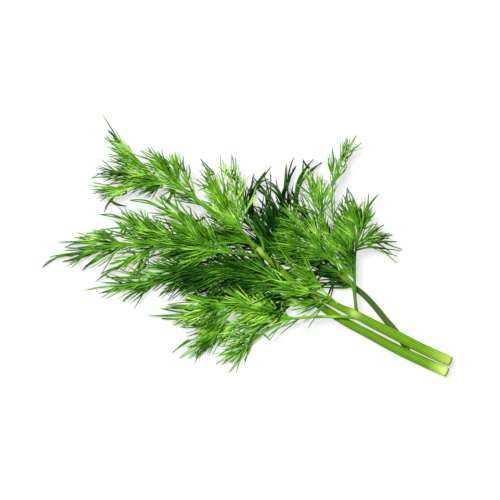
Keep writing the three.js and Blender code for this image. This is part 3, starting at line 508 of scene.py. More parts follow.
            [(40.3, 16.9, 7), (40.7, 20.5, 6), (40.9, 23.3, 5)],
            [(44.3, 14, 8), (43.3, 18.4, 7), (40.9, 22.7, 6)],
            [(46.2, 9.6, 8), (46.5, 13.3, 7.5), (46.5, 14.7, 7)],
            [(45.4, 14, 8), (46.2, 15.8, 7), (47.6, 17.3, 6)],
            [(47.3, 11.1, 7), (49.4, 15.1, 5.7), (53.8, 20.9, 4.4)],
            [(49.1, 15.1, 6), (49.3, 18.4, 5.5), (49.6, 20.9, 5)],
            [(47.3, 7.5, 8), (49.1, 9.3, 7.2), (50.7, 10.2, 6.4)],
            [(48, 6.7, 7.6), (50.2, 7.8, 6.8), (52.9, 8.5, 6)],
            [(50.2, 4.5, 6.6), (53.1, 6.7, 5.6), (55.8, 8, 4.6)],
            [(50.2, 2.7, 5), (54.5, 3.8, 4), (59.6, 3.8, 3)],
            [(51.3, 2.5, 4.6), (55.3, 2.7, 3.7), (58.5, 2.7, 2.8)],
            [(50.2, 2, 4.4), (55.3, 1.5, 3.2), (61.1, 1.5, 2)],
            [(55.3, 1.3, 3.4), (59.6, -0.5, 2.2), (63.8, -1.8, 1)],
            [(51.3, 1.8, 4), (55.3, -0.5, 2.4), (59.3, -3.3, 0.8)],
            [(38.9, 15.1, 8), (38.7, 17.3, 7.5), (38.7, 19.1, 7)],
        ],
    },
    "leaf_top_right": {
        "finish": "leaf_green", "stalk": 0.55, "bare": 0.45, "length": 0.58,
        "edge": 7, "crowd": 0.8, "girth": 0.85, "curl": 1, "lean": (0, 0, 0),
        "tone": 0.6, "lift": 0, "density": 0.6,
        "main": [
            (44.2, -26.7, 5.9), (43.8, -21.5, 5.6), (42.9, -16.5, 5.5), (40.6, -12, 5.9), (38, -6, 6.8),
            (37, 0, 7.8), (36.4, 6, 8.8), (35.5, 9, 9.2), (34.5, 14, 9.4), (34.5, 20, 9.2), (35, 24.5, 8.8),
            (34.6, 31, 8), (34.8, 40, 6),
        ],
        "sides": [
            (0.2, [(35, 24.2, 8.8), (37, 29, 8.6), (38.2, 34, 8), (39.5, 38, 7), (41, 43.4, 5.4)]),
            (0.4, [(38, 33, 8.1), (41, 37.5, 6.6), (44.8, 44.3, 4.6)]),
            (0.2, [(35.6, 25.5, 8.8), (39, 29.4, 8), (40.2, 33.5, 7)]),
            (0.1, [(35, 28, 8.4), (33.4, 31.5, 7.6), (33, 35.5, 6.6)]),
            (1.3, [
                (38, -6, 6.8), (36, -0.5, 7.6), (34, 3.5, 8.6), (31, 8.5, 9.6), (29, 16, 9.8),
                (26.5, 25, 8.6), (25.3, 32, 7),
            ]),
            (1, [(28.7, 17, 9.8), (28.6, 23, 9), (28.5, 29.4, 7.6)]),
            (1, [(29.3, 14.5, 9.9), (30.6, 20, 9.2), (32, 26.4, 7.6)]),
            (1, [(30, 11.5, 9.8), (31.4, 16.5, 9.6), (32.8, 22, 8.4)]),
            (1, [(28.6, 17.5, 9.7), (26, 21, 9.4), (23.4, 26, 8)]),
            (0.5, [(30.2, 11, 9.8), (26, 14.5, 10.2), (20, 19, 8.8)]),
        ],
        "strands": [
            [(35.3, 24.2, 7), (38.2, 33.3, 6.3), (40.3, 37.6, 5.7), (44.7, 44.4, 5)],
            [(38.5, 31.5, 7), (38.2, 37.6, 6.5), (38, 41.3, 6)],
            [(38.9, 34, 7), (39.3, 39.5, 6.3), (40.7, 43.5, 5.6)],
            [(39.6, 35.1, 7), (40.3, 38.7, 6.2), (41.1, 42.7, 5.4)],
            [(39.6, 34, 6.6), (42.2, 36.2, 5.8), (43.8, 39.8, 5)],
            [(34.9, 29.6, 7), (35.3, 35.1, 6.5), (34.7, 39.5, 6)],
            [(34.5, 30, 7), (33.3, 33.3, 6.7), (33.4, 35.1, 6.4)],
            [(37.1, 27.5, 7), (39.6, 29.6, 6.8), (40.5, 31.8, 6.7), (39.8, 33.3, 6.5)],
            [(36.3, 30, 7.2), (36.7, 33.3, 6.9), (35.8, 35.1, 6.6)],
        ],
    },
    "leaf_dark_top": {
        "finish": "dark_leaf_green", "stalk": 0.7, "bare": 0.02, "length": 0.95,
        "edge": 6, "crowd": 0.8, "girth": 1.35, "curl": 1.4, "lean": (0, 0, 0),
        "tone": 0.36, "lift": 0, "density": 0.37,
        "main": [
            (39, -12.8, 3.2), (31, -9.5, 3), (25, -7, 2.8), (18, -4.5, 2.8), (12, -3, 2.8), (8, 4, 2.8),
            (4, 12, 2.8), (2, 18, 2.6), (4, 24, 1.6), (8.3, 30.4, 0.15),
        ],
        "sides": [
            (0.25, [
                (18, -4.5, 2.8), (16, 0, 3.2), (14, 6, 3.6), (11, 15, 3.8), (5, 25, 2.8), (2.6, 28, 2),
            ]),
            (0.3, [
                (22, -5.9, 2.8), (18, 2, 3.4), (16, 12, 4), (15.5, 20, 3.6), (17, 26, 2),
                (20.5, 32.5, 0.15),
            ]),
            (0.4, [(31, -9.5, 3), (30, -3, 3.4), (28, 4, 4), (24, 11, 4.2), (17.5, 21, 3.2)]),
            (0.02, [(18, 2.5, 3.4), (19.5, 12, 4.6), (20, 20, 4.4), (24, 30, 2.4), (27.5, 35, 1)]),
            (0.02, [(19.5, 13, 4.6), (22, 24, 4.6), (26, 30, 3.2), (31.5, 33.7, 0.8)]),
            (0.02, [(15.6, 19, 3.7), (16, 27, 2.6), (16.5, 33, 1.2)]),
            (0.02, [(20.4, 21.5, 4.2), (22.8, 28, 3.2), (23.4, 35, 1.4)]),
            (0.3, [(6, 8, 2.8), (8.4, 13, 2.6), (10, 17.5, 2.2)]),
            (0.37, [(37, -11.9, 3.2), (34, -15, 2.6), (28, -15.6, 2.2)]),
            (0.37, [(33, -10.3, 3.1), (28, -12.3, 2.6), (21, -11, 2.2)]),
            (0.37, [(14, -3.5, 2.8), (7, -0.5, 2.6), (0, 2.5, 2.4), (-8, 6.5, 2), (-13, 10.5, 1.6)]),
            (0.37, [(12, -3, 2.8), (5, -1.5, 2.4), (-2, 0.5, 2.2), (-11, 3, 1.8)]),
            (0.37, [(12, -3, 2.8), (13, 3, 3.4), (11, 9, 3.6), (7, 15, 3.2)]),
            (0.37, [(8, 4, 2.8), (4, 8, 3), (1, 12, 2.8)]),
            (0.55, [(25, -7, 2.8), (20, -8.8, 2.8), (15, -7, 2.8), (11, -2, 2.8)]),
            (0.55, [(31, -9.5, 3), (25, -12.4, 2.8), (19, -12.4, 2.6), (14, -9.4, 2.6)]),
            (0.37, [(37, -11.8, 3.2), (32, -8.4, 3.4), (27, -5.4, 3.4)]),
            (0.5, [(20, -5.2, 2.8), (19, 4, 3.8), (17, 12, 4), (14.5, 19, 3.4)]),
            (0.7, [(16.2, -5.2, 2.8), (7.4, 2.8, 3.2), (1.8, 12.4, 2.6)]),
            (0.7, [(17.8, -4.4, 3), (12.2, 4, 3.6), (8.2, 14, 3)]),
            (0.48, [(18.6, -2.8, 3.2), (15.8, 8, 4), (14.6, 22, 3)]),
        ],
        "strands": [
            [(1.6, 13.7, 3), (2.1, 20.7, 2.7), (4.8, 24.7, 2.3), (8.1, 29.8, 2)],
            [(3.8, 20.7, 2.6), (3.8, 23.3, 2.4), (6.8, 25.7, 2.2), (9.8, 26.8, 2)],
            [(13.8, 12.7, 4.4), (10.1, 17.7, 3.9), (7.1, 22.7, 3.5), (3.5, 26.5, 3)],
            [(12.5, 10.3, 4), (8.8, 14.3, 3.5), (4.8, 19.3, 3)],
            [(14.5, 19.7, 3), (11.8, 24, 2.8), (8.5, 26, 2.6)],
            [(13.8, 19.3, 3), (11.1, 22, 2.8), (6.8, 24.3, 2.6)],
            [(15.1, 12, 4), (15.1, 21.3, 3.7), (16.8, 25.3, 3.3), (20.5, 32.3, 3)],
            [(15.5, 20.7, 3.6), (16.3, 26, 3.3), (16.5, 31.7, 3)],
            [(20.1, 19, 3), (21.1, 23, 2.3), (24.5, 27.7, 1.7), (30.8, 33.7, 1)],
            [(20.1, 19, 2.6), (20.8, 24.7, 2.2), (23.5, 30, 1.9), (27.5, 34.8, 1.5)],
            [(25.8, 31, 2), (24.5, 32.3, 1.8), (23.3, 34.5, 1.6)],
            [(27.1, 8.3, 4.6), (23.8, 12.7, 4.3), (20.5, 17, 3.9), (17.1, 20.7, 3.6)],
            [(12.5, 10, 4), (7.8, 14, 3.5), (2.5, 16, 3)],
            [(8.1, 9.7, 3.6), (5.1, 12, 3.3), (2.5, 15.3, 3)],
            [(8.5, 6.7, 3.6), (5.5, 10, 3.3), (2.8, 12.3, 3)],
            [(0.8, 13.7, 3), (0.5, 18.7, 2.8), (1.8, 22.7, 2.6), (3.3, 26.3, 2.4)],
            [(17.8, 16.7, 4), (17.1, 20.7, 3.7), (17.1, 24.7, 3.4)],
            [(11.8, 5.3, 4), (9.8, 10, 3.5), (7.1, 12.7, 3)],
            [(14.5, 8.7, 4), (12.5, 12, 3.5), (10.5, 14.3, 3)],
            [(39.2, -13.5, 3.2), (31.8, -12.6, 2.8), (27.2, -12, 2.4)],
            [(39.5, -16, 3), (34.3, -15.4, 2.6), (29.6, -14.9, 2.2)],
            [(38, -11.7, 3.6), (33.3, -9.2, 3.3), (28.4, -6.8, 3)],
            [(36.4, -12, 3.2), (31.8, -11.1, 2.9), (26.6, -9.2, 2.6)],
            [(13.3, -4.9, 3.4), (10.3, -2.2, 3.2), (7.8, 2.5, 3)],
            [(15.2, -5.5, 3.4), (11.5, -0.6, 3.2), (9, 4.3, 3)],
            [(17, -4.9, 3.6), (13.3, 0, 3.4), (10.3, 4.9, 3.2)],
            [(42.6, -15.6, 3), (37, -12.8, 3), (29, -12, 2.6)],
            [(42.6, -16.4, 2.4), (36.2, -16, 2.2), (28.6, -16.4, 1.8)],
            [(41.8, -14.4, 3.4), (35.4, -9.6, 3.8), (29, -6.8, 3.6)],
            [(40.6, -13.2, 3.4), (33.8, -7.2, 4), (28.2, -2.4, 3.8)],
            [(42.6, -16, 2.8), (35.4, -14, 2.6), (27.4, -14.4, 2.2)],
            [(39.4, -12, 3.4), (32.2, -10.4, 3.2), (25.8, -10.8, 2.8)],
            [(15.8, -6.8, 3.2), (6.6, 3.6, 3.6), (-0.6, 9.6, 3), (-3, 16, 2.6)],
            [(14.6, -2.8, 3.2), (6.6, 7.6, 3.6), (2.6, 15.6, 3.2), (1, 22, 2.6)],
            [(16.2, 0, 3.6), (10.6, 9.2, 4), (8.2, 18, 3.6), (9, 25.2, 2.8)],
            [(41.8, -15.2, 3), (36.2, -13.6, 3), (30.6, -12.8, 2.6)],
            [(42.2, -16, 2.6), (37, -15.2, 2.4), (30.6, -15.6, 2)],
            [(41.4, -14.8, 3), (33.8, -10.8, 3.4), (27.8, -8.4, 3)],
            [(41, -14.4, 3), (35.4, -12, 3.2), (29, -10.4, 3)],
            [(41.8, -16.8, 2.6), (35.8, -17.2, 2.2), (27.4, -16.8, 1.8)],
            [(40.2, -14, 3.4), (35, -8.4, 3.6), (30.6, -5.6, 3.4)],
            [(2, 11.2, 4), (1.6, 18, 4.4), (2.6, 23.6, 4), (3.4, 26.4, 2.4)],
            [(2.2, 13.6, 4), (3, 20, 4.4), (4.9, 24, 4), (8.2, 29.6, 2.4)],
            [(15.4, 10, 4), (11.8, 15.6, 4.6), (9.4, 18.4, 4.8), (6.8, 22.4, 4), (3.8, 26.4, 2.4)],
            [(4.2, 22.8, 4), (6.6, 25.6, 4.4), (9.4, 26.8, 2.6)],
            [(16.2, 15.6, 4), (13.8, 20.4, 4.4), (11.8, 23, 4), (8, 25.6, 2.4)],
            [(15.4, 8.4, 4), (14.8, 15.6, 4.6), (15.3, 21.6, 4.8), (16.4, 26, 4), (16.2, 31.6, 2.4)],
            [(15, 15.6, 4), (15.8, 23, 4.4), (17.8, 27, 4), (20.6, 32, 2.4)],
            [(20.2, 14.8, 4), (20.2, 21, 4.6), (21.3, 26.5, 4.8), (23.8, 30.5, 4), (27.6, 35, 2.4)],
            [(20.6, 15.6, 4), (20.8, 22, 4.6), (22.8, 26, 4.8), (26.8, 30.5, 4), (30.6, 33.2, 2.4)],
            [(15, 8, 4), (11.8, 12, 4.4), (8.2, 15.6, 4), (4.8, 19.2, 2.4)],
            [(15.8, -1.2, 4), (11.8, 5.6, 4.6), (9.3, 9.6, 4.8), (6.2, 13, 4), (2.2, 16, 2.4)],
            [(15, -2.8, 4), (10.8, 3, 4.6), (8.8, 6, 4.8), (6.2, 9.6, 4), (2.8, 12, 2.4)],
            [(9.8, -2.8, 4), (7.3, 2, 4.4), (5.8, 5.6, 4), (3, 9, 2.4)],
            [(17.8, 5.2, 4), (14.2, 11, 4.4), (11.8, 14, 4), (8.2, 14.5, 2.4)],
            [(29, 2, 4), (25.8, 8, 4.4), (22.8, 14, 4), (20.2, 18.8, 2.4)],
            [(18.2, 6, 4), (18.8, 12, 4.4), (19.8, 16.4, 2.6)],
            [(16.2, 2, 4), (13, 7.6, 4.4), (10.6, 12.4, 4), (9.8, 16.8, 2.4)],
            [(13.8, -2, 4), (9.8, 2, 4.4), (6.6, 6.8, 4), (4.2, 10.8, 2.4)],
            [(6.6, -6.8, 3.6), (1, 0.4, 3.2), (-2.2, 7.6, 2.8)],
            [(9.8, -4.4, 3.8), (5, 2.8, 3.6), (1.8, 9.2, 3)],
        ],
    },
    "leaf_centre_right": {
        "finish": "leaf_green", "stalk": 0.6, "bare": 0.12, "length": 0.9,
        "edge": 5, "crowd": 0.9, "girth": 1, "curl": 1, "lean": (-0.3, 0, 0),
        "tone": 0.6, "lift": 0, "density": 1.2,
        "main": [
            (43, -15.3, 3.9), (38.5, -10.3, 4.3), (36, -7, 4.8), (32, -3.5, 6.2), (28, -0.4, 7.8),
            (22, 4, 9.2), (14, 9.5, 9.4),
        ],
        "sides": [
            (1.4, [(34, -5.3, 5.5), (28, -6, 7.4), (22, -5, 8.2), (15.5, -1.5, 8)]),
            (1.4, [(31.5, -3, 6.4), (26, -2, 8.4), (20, 0.5, 9), (13, 3.4, 8.6)]),
            (1, [(29, -1.2, 7.4), (25, 4, 9.2), (20, 9, 9.6), (14.5, 14, 8.6)]),
            (0.7, [(30, -2, 7), (29, 4, 8.2), (26, 9.5, 8.8), (21.5, 15, 8)]),
            (1, [(35, -6.2, 5.1), (34, -0.5, 5.6), (31.5, 5, 6.6), (28, 10, 7)]),
        ],
        "strands": [
            [(39.2, -11.4, 4.6), (34.9, -6.5, 5.8), (30.3, -2.2, 7), (25.6, 1.8, 8.2), (18.3, 6.2, 9.4)],
            [(36.1, -6.8, 5.6), (31.8, -2.8, 6.7), (26.3, 0.9, 7.9), (19.5, 4.9, 9)],
            [(35.8, -6.5, 5.6), (31.2, -2.5, 6.7), (25.3, 0.6, 7.9), (13.3, 2.5, 9)],
            [(34.9, -5.5, 6), (29.3, -2.2, 6.9), (22.6, -0.9, 7.9), (17.6, 1.8, 8.8)],
            [(34.3, -5.2, 6), (28.7, -3.1, 6.8), (23.8, -2.2, 7.6), (16.4, -0.9, 8.4)],
            [(33.3, -4.9, 6), (28.1, -4.3, 7), (22.6, -3.7, 8)],
            [(31.8, -4.3, 6.4), (27.2, -4.9, 7.2), (21.3, -5.2, 8)],
            [(35.5, -4.9, 6), (35.5, -1.2, 6.5), (32.7, 3.4, 7.1), (31.5, 6.5, 7.6)],
            [(33, -1.2, 6.6), (28.7, 2.5, 7.5), (24.1, 5.5, 8.3), (19.5, 7.4, 9.2)],
            [(31.2, 0.3, 6.8), (28.1, 4, 7.9), (25.3, 7.1, 9)],
            [(38, -10.5, 5), (36.1, -5.5, 5.9), (34.3, -1.2, 6.7), (31.8, 2.5, 7.6)],
            [(36.7, -8, 5.4), (31.8, -4.9, 6.6), (26.9, -2.2, 7.8), (21.3, 0.6, 9)],
            [(37.3, -9.2, 5.2), (33, -4.3, 6.5), (28.7, 0.3, 7.7), (24.4, 3.4, 9)],
            [(34.9, -4.3, 6), (30.6, 1.2, 7), (27.5, 4.9, 8), (22.6, 8, 9)],
        ],
    },
    "leaf_inner": {
        "finish": "leaf_green", "stalk": 0.45, "bare": 0.35, "length": 0.9,
        "edge": 4, "crowd": 1, "girth": 1, "curl": 1, "lean": (-0.5, -0.25, 0.05),
        "tone": 0.7, "lift": 0, "density": 1,
        "main": [
            (37, -23.9, 8), (34.4, -21.5, 8.9), (32.4, -19.6, 9.1), (30.6, -17.4, 9), (28, -14, 9),
            (22, -9.4, 9.6),
        ],
        "sides": [
            (1, [(30, -16.6, 9), (25.5, -14, 10), (20.5, -11, 10)]),
            (1, [(28.4, -14.5, 9), (26.5, -10.5, 10), (23, -7, 10)]),
            (0.4, [
                (34.4, -21.5, 8.9), (31, -20.7, 9.8), (28, -19.6, 10.3), (24.5, -18.4, 10.8),
                (20.5, -17.2, 10.6),
            ]),
            (1.0, [
                (34.4, -21.5, 8.9), (32.4, -22.6, 9.3), (29, -23.2, 7.6), (23, -22.8, 6.4),
                (17, -21.6, 5.8),
            ]),
        ],
        "strands": [
            [(29.6, -23.2, 8.2), (24.1, -21.5, 6.6), (17.6, -20, 5.8)],
            [(29.6, -23.2, 8.2), (23.8, -22.3, 6.4), (16.4, -20.6, 5.6)],
            [(29.6, -23.2, 8.1), (23.5, -22.8, 6.2), (17.3, -22.3, 5.2)],
            [(29.6, -23.2, 8), (23.8, -23.7, 6), (16.1, -24.3, 5)],
            [(29.6, -23.2, 8), (24.4, -24.3, 5.8), (18.9, -24.6, 4.8)],
            [(22.6, -19.4, 10.3), (17, -16.9, 9.4), (11.5, -14.2, 8.5), (3.5, -12, 7.6)],
            [(22.6, -19.4, 10.3), (16.4, -17.2, 9.2), (7.8, -15.4, 8)],
            [(22.6, -19.4, 10.2), (17, -17.8, 9.3), (10.3, -17.5, 8.3), (5.6, -18.8, 7.4)],
            [(22, -19.1, 10.6), (15.2, -16.6, 9.7), (10.3, -12.9, 8.9), (5.3, -10.5, 8)],
            [(19.5, -18.5, 10), (14, -18.5, 8.8), (9, -18.2, 7.6)],
            [(20.1, -19.7, 10), (14.6, -19.1, 8.7), (10.3, -19.7, 7.4)],
            [(22.6, -19.7, 10), (18, -20.3, 8.8), (14, -21.5, 7.6)],
            [(19.5, -16.6, 10.8), (14.6, -12, 10.7), (10.3, -9.2, 10.6)],
            [
                (30.3, -16.3, 9.2), (25.6, -14.2, 9.5), (22.6, -12, 9.8), (18.6, -9.2, 10.1),
                (14.3, -5.8, 10.4),
            ],
            [(30.3, -16.3, 9.2), (26.3, -14.8, 9.5), (22.3, -13.2, 9.9), (18.3, -10.5, 10.2)],
            [
                (30.3, -16.3, 9.3), (26.6, -13.2, 9.6), (19.5, -8.9, 9.9), (14.3, -2.2, 10.3),
                (11.5, 4, 10.6),
            ],
            [(30, -15.7, 9.4), (25, -11.7, 9.8), (20.4, -8.3, 10.2), (15.2, -2.2, 10.6)],
            [(30, -15.7, 9), (25.3, -12.9, 9.3), (21.3, -11.7, 9.5), (19.5, -10.5, 9.8)],
            [(30.3, -16.3, 9.2), (25.3, -15.4, 9.4), (21.3, -14.9, 9.6)],
            [(30.3, -16.3, 9.2), (25.6, -16, 9.4), (22, -16.3, 9.6)],
            [(30.3, -16.3, 9), (26.3, -16.6, 9.2), (23.8, -17.2, 9.4)],
            [(29.6, -15.4, 9.4), (24.4, -10.5, 9.7), (19.5, -4.9, 9.9), (16.4, -0.9, 10.2)],
            [(28.7, -14.2, 9.2), (24.1, -11.1, 9.5), (22, -9.2, 9.8)],
            [(29.3, -14.8, 9), (26.3, -11.7, 9.1), (24.4, -9.2, 9.2)],
            [(30.3, -16.3, 8.8), (26, -14.2, 8.9), (22.9, -14.2, 9)],
            [
                (25.5, -18.6, 10.8), (21.3, -17.7, 10.1), (15.4, -15.6, 9.4), (10.8, -14.6, 8.7),
                (6.6, -13.1, 8),
            ],
            [
                (25.5, -19.4, 10.6), (22.2, -18.6, 9.9), (17.1, -17.3, 9.3), (10.8, -16.1, 8.7),
                (6.6, -15.9, 8),
            ],
            [
                (24.7, -19.9, 10.5), (20.1, -18.2, 9.8), (15.4, -16.9, 9.2), (10.4, -17.7, 8.5),
                (6.6, -17.5, 7.8),
            ],
            [(24.5, -20.3, 10.3), (19.7, -19.4, 9.5), (14.6, -18.8, 8.6), (8.7, -18.8, 7.8)],
            [(23.9, -20.3, 10.2), (19.2, -19.9, 9.3), (15.4, -20.3, 8.3), (10.4, -21.5, 7.4)],
            [
                (24.3, -18.6, 10.8), (20.1, -16.1, 10.5), (15.4, -15.2, 10.2), (13.5, -13.1, 9.9),
                (10.8, -9.3, 9.6),
            ],
            [
                (23.4, -17.7, 10.8), (18.4, -15.6, 10.2), (14.6, -14.8, 9.7), (10, -13.7, 9.2),
                (6.6, -14.8, 8.6),
            ],
            [(23, -16.9, 11), (19.2, -15.2, 11), (15.9, -13.1, 11), (13.8, -11, 11)],
            [(25.5, -19, 10.8), (20.5, -18.6, 10), (15.9, -17.7, 9.2), (12.1, -17.3, 8.4)],
            [
                (25.1, -17.7, 11), (21.3, -16.1, 10.5), (17.5, -14.8, 10), (12.9, -14.4, 9.5),
                (8.7, -12.3, 9),
            ],
            [(29.8, -16.3, 9.4), (25.5, -15.6, 9.9), (21.3, -14.2, 10.4)],
            [(29.8, -16.3, 9.6), (25.1, -16.1, 10), (20.3, -15.2, 10.4)],
            [(29.8, -16.5, 9.8), (25.5, -16.7, 10.1), (20.9, -16.1, 10.4)],
            [(30.2, -16.7, 9.6), (26.8, -16.9, 9.8), (23.9, -17.1, 10)],
            [(29.3, -15.2, 9.8), (25.5, -14, 10.1), (21.8, -13.5, 10.4)],
        ],
    },
    "leaf_inner_low": {
        "finish": "dark_leaf_green", "stalk": 0.5, "bare": 0.12, "length": 1.1,
        "edge": 4, "crowd": 0.85, "girth": 1, "curl": 1, "lean": (0, 0, 0),
        "tone": 0.62, "lift": 0, "density": 1.6,
        "main": [
            (21.5, -17.4, 7.7), (17, -16, 6.9), (12, -13.8, 6.4), (7, -12.6, 6.2), (1, -11.8, 6),
            (-6, -12.5, 6),
        ],
        "sides": [
            (1.9, [(15, -15.2, 6.7), (11, -11.5, 6.6), (6, -9, 6.6), (0, -6.8, 6.4)]),
            (1.6, [(14, -14.8, 6.6), (8, -15.6, 6.2), (1, -15.8, 5.4)]),
            (1.4, [(17, -16, 6.9), (9, -18, 5.6), (1, -18.6, 4.6), (-8, -18, 3.6)]),
            (0.6, [(1.8, -10.8, 6), (-5.4, -4.8, 6.2), (-16.2, -5.6, 5.4)]),
            (0.5, [(-2.2, -11.6, 6), (-9.4, -8.4, 5.6), (-18.2, -8.4, 5)]),
        ],
        "strands": [
            [(17.6, -17.5, 7.2), (10.3, -15.4, 6.6), (3.5, -14.2, 6), (-3.6, -13.5, 5.4)],
            [(17.6, -18.2, 7), (9, -17.5, 6), (3.5, -18.8, 5)],
            [(15.2, -13.5, 7.2), (9, -11.1, 6.8), (3.5, -9.2, 6.4), (-2.7, -8.6, 6)],
            [(13.3, -11.7, 7.2), (7.8, -8.6, 6.8), (2, -6.5, 6.4)],
            [(10.3, -11.1, 6.8), (4.1, -10.5, 6.4), (-2, -10.8, 6), (-8.2, -10.5, 5.6)],
            [(13.3, -15.4, 7), (6.6, -13.5, 6.4), (-0.5, -13.2, 5.8), (-8.2, -13.5, 5.2)],
            [(10.3, -16.6, 6.4), (4.1, -16.3, 5.7), (-2, -16.6, 5)],
            [(4.7, -9.2, 6.4), (1, -8, 6.2), (-2, -6.8, 6)],
        ],
    },
}
print("leaves:", len(LEAVES), "ribs:", sum(1 + len(leaf["sides"]) for leaf in LEAVES.values()))

# %% [markdown]
# ## Colours
#
# Fresh dill is a saturated yellow-green where the light falls on it and nearly black-green deep in the
# bunch, and much of that light and shade is painted into the colour. One node group colours the leaf
# tissue: it goes from a deep green to a bright one and on to a light one, by a soft cloud noise and by a
# number that each thread carries, and it turns to a dull olive towards the thread's tip. That number is
# painted shade deep in the bunch and painted light where a leaf lies in the open, and the light green
# is partly a painted sheen. Each thread's numbers are in a point attribute called growth_and_shade: how
# far along it a point is and how light it is painted. A stem carries its ribs and its pale places in
# the same attribute.

# %% The tissue node group
SHADE_WEIGHT = 0.75
BRIGHT_RANGE = (0.5, 1.15)
LIGHT_RANGE = (1.0, 1.3)
TIP_RANGE = (0.72, 1.0)
TIP_STRENGTH = 0.42
CLOUD_DETAIL = 2.0
LEAF_CLOUD = 120.0
STEM_CLOUD = 160.0
GRAIN = 2600.0
TISSUE_COLOURS = ("Deep", "Bright", "Light", "Tip")


def add_socket(group, name, kind, value=None, output=False):
    place = "OUTPUT" if output else "INPUT"
    socket = group.interface.new_socket(name=name, in_out=place, socket_type=kind)
    if value is not None:
        socket.default_value = value


def growth_and_shade_parts(nodes, links):
    """The three numbers of the growth_and_shade attribute, as Red, Green and Blue."""
    growth_and_shade = nodes.new("ShaderNodeAttribute")
    growth_and_shade.attribute_name = "growth_and_shade"
    parts = nodes.new("ShaderNodeSeparateColor")
    links.new(growth_and_shade.outputs["Color"], parts.inputs["Color"])
    return parts.outputs


def stretch(nodes, links, value, value_range, top=1.0):
    """The value, stretched so that its range runs from 0 to top."""
    spread = nodes.new("ShaderNodeMapRange")
    spread.inputs["From Min"].default_value = value_range[0]
    spread.inputs["From Max"].default_value = value_range[1]
    spread.inputs["To Max"].default_value = top
    links.new(value, spread.inputs["Value"])
    return spread.outputs["Result"]


def mix_colours(nodes, links, factor, one, two):
    """The first colour where the factor is 0 and the second one where it is 1."""
    mix = nodes.new("ShaderNodeMix")
    mix.data_type = "RGBA"
    links.new(factor, mix.inputs["Factor"])
    links.new(one, mix.inputs["A"])
    links.new(two, mix.inputs["B"])
    return mix.outputs["Result"]


def build_tissue_group():
    group = bpy.data.node_groups.new("green_tissue", "ShaderNodeTree")
    for name in TISSUE_COLOURS:
        add_socket(group, name, "NodeSocketColor")
    add_socket(group, "Cloud Size", "NodeSocketFloat", LEAF_CLOUD)
    add_socket(group, "Color", "NodeSocketColor", output=True)
    add_socket(group, "Height", "NodeSocketFloat", output=True)
    nodes, links = group.nodes, group.links
    given = nodes.new("NodeGroupInput")
    result = nodes.new("NodeGroupOutput")
    place = nodes.new("ShaderNodeTexCoord")
    growth_and_shade = growth_and_shade_parts(nodes, links)
    cloud = nodes.new("ShaderNodeTexNoise")
    cloud.inputs["Detail"].default_value = CLOUD_DETAIL
    links.new(place.outputs["Object"], cloud.inputs["Vector"])
    links.new(given.outputs["Cloud Size"], cloud.inputs["Scale"])
    # On a leaf the thread's number holds painted light and shade; the cloud varies the tone at random.
    shade = nodes.new("ShaderNodeMath")
    shade.operation = "MULTIPLY_ADD"
    links.new(growth_and_shade["Green"], shade.inputs[0])
    shade.inputs[1].default_value = SHADE_WEIGHT
    links.new(cloud.outputs["Fac"], shade.inputs[2])
    bright = stretch(nodes, links, shade.outputs["Value"], BRIGHT_RANGE)
    body = mix_colours(nodes, links, bright, given.outputs["Deep"], given.outputs["Bright"])
    # For a leaf the light colour is partly a painted highlight: the pale sheen of the lightest threads.
    light = stretch(nodes, links, shade.outputs["Value"], LIGHT_RANGE)
    body = mix_colours(nodes, links, light, body, given.outputs["Light"])
    tip = stretch(nodes, links, growth_and_shade["Red"], TIP_RANGE, TIP_STRENGTH)
    colour = mix_colours(nodes, links, tip, body, given.outputs["Tip"])
    links.new(colour, result.inputs["Color"])
    grain = nodes.new("ShaderNodeTexNoise")
    grain.inputs["Scale"].default_value = GRAIN
    links.new(place.outputs["Object"], grain.inputs["Vector"])
    links.new(grain.outputs["Fac"], result.inputs["Height"])
    return group


tissue_group = build_tissue_group()
print("node group:", tissue_group.name)

# %% Leaf materials
# The deep, bright, light and tip colour of each finish. The three finishes are lit and shaded copies
# of one green, painted light and shade: bright_leaf_green for leaves in the light, dark_leaf_green for
# those in shade beneath. The light colour is partly a painted highlight, the pale sheen of a thread.
LEAF_COLOURS = {
    "bright_leaf_green": (
        (0.002, 0.045, 0.0005), (0.145, 0.42, 0.016), (0.4, 0.66, 0.1), (0.12, 0.15, 0.03),
    ),
    "leaf_green": (
        (0.001, 0.026, 0.0004), (0.12, 0.37, 0.014), (0.34, 0.6, 0.08), (0.075, 0.11, 0.02),
    ),
    "dark_leaf_green": (
        (0.001, 0.016, 0.0004), (0.05, 0.2, 0.009), (0.15, 0.38, 0.035), (0.04, 0.055, 0.015),
    ),
}
LEAF_BUMP = 0.25
LEAF_BUMP_HEIGHT = 0.08
LEAF_ROUGHNESS = 0.48
LEAF_SHINE = 0.04


def add_tissue(nodes, colours):
    """The tissue group as a node, with its deep, bright, light and tip colour."""
    tissue = nodes.new("ShaderNodeGroup")
    tissue.node_tree = tissue_group
    for socket, colour in zip(TISSUE_COLOURS, colours):
        tissue.inputs[socket].default_value = (*colour, 1)
    return tissue


def add_grain(nodes, links, tissue, shader, strength, height):
    """Bump from the tissue's grain, with its height in millimetres."""
    bump = nodes.new("ShaderNodeBump")
    bump.inputs["Strength"].default_value = strength
    bump.inputs["Distance"].default_value = height * MM
    links.new(tissue.outputs["Height"], bump.inputs["Height"])
    links.new(bump.outputs["Normal"], shader.inputs["Normal"])


def leaf_material(name):
    material = bpy.data.materials.new(name)
    material.use_nodes = True
    nodes, links = material.node_tree.nodes, material.node_tree.links
    shader = nodes["Principled BSDF"]
    tissue = add_tissue(nodes, LEAF_COLOURS[name])
    links.new(tissue.outputs["Color"], shader.inputs["Base Color"])
    add_grain(nodes, links, tissue, shader, LEAF_BUMP, LEAF_BUMP_HEIGHT)
    shader.inputs["Roughness"].default_value = LEAF_ROUGHNESS
    shader.inputs["Specular IOR Level"].default_value = LEAF_SHINE
    return material


leaf_materials = {name: leaf_material(name) for name in LEAF_COLOURS}
print("leaf materials:", ", ".join(leaf_materials))

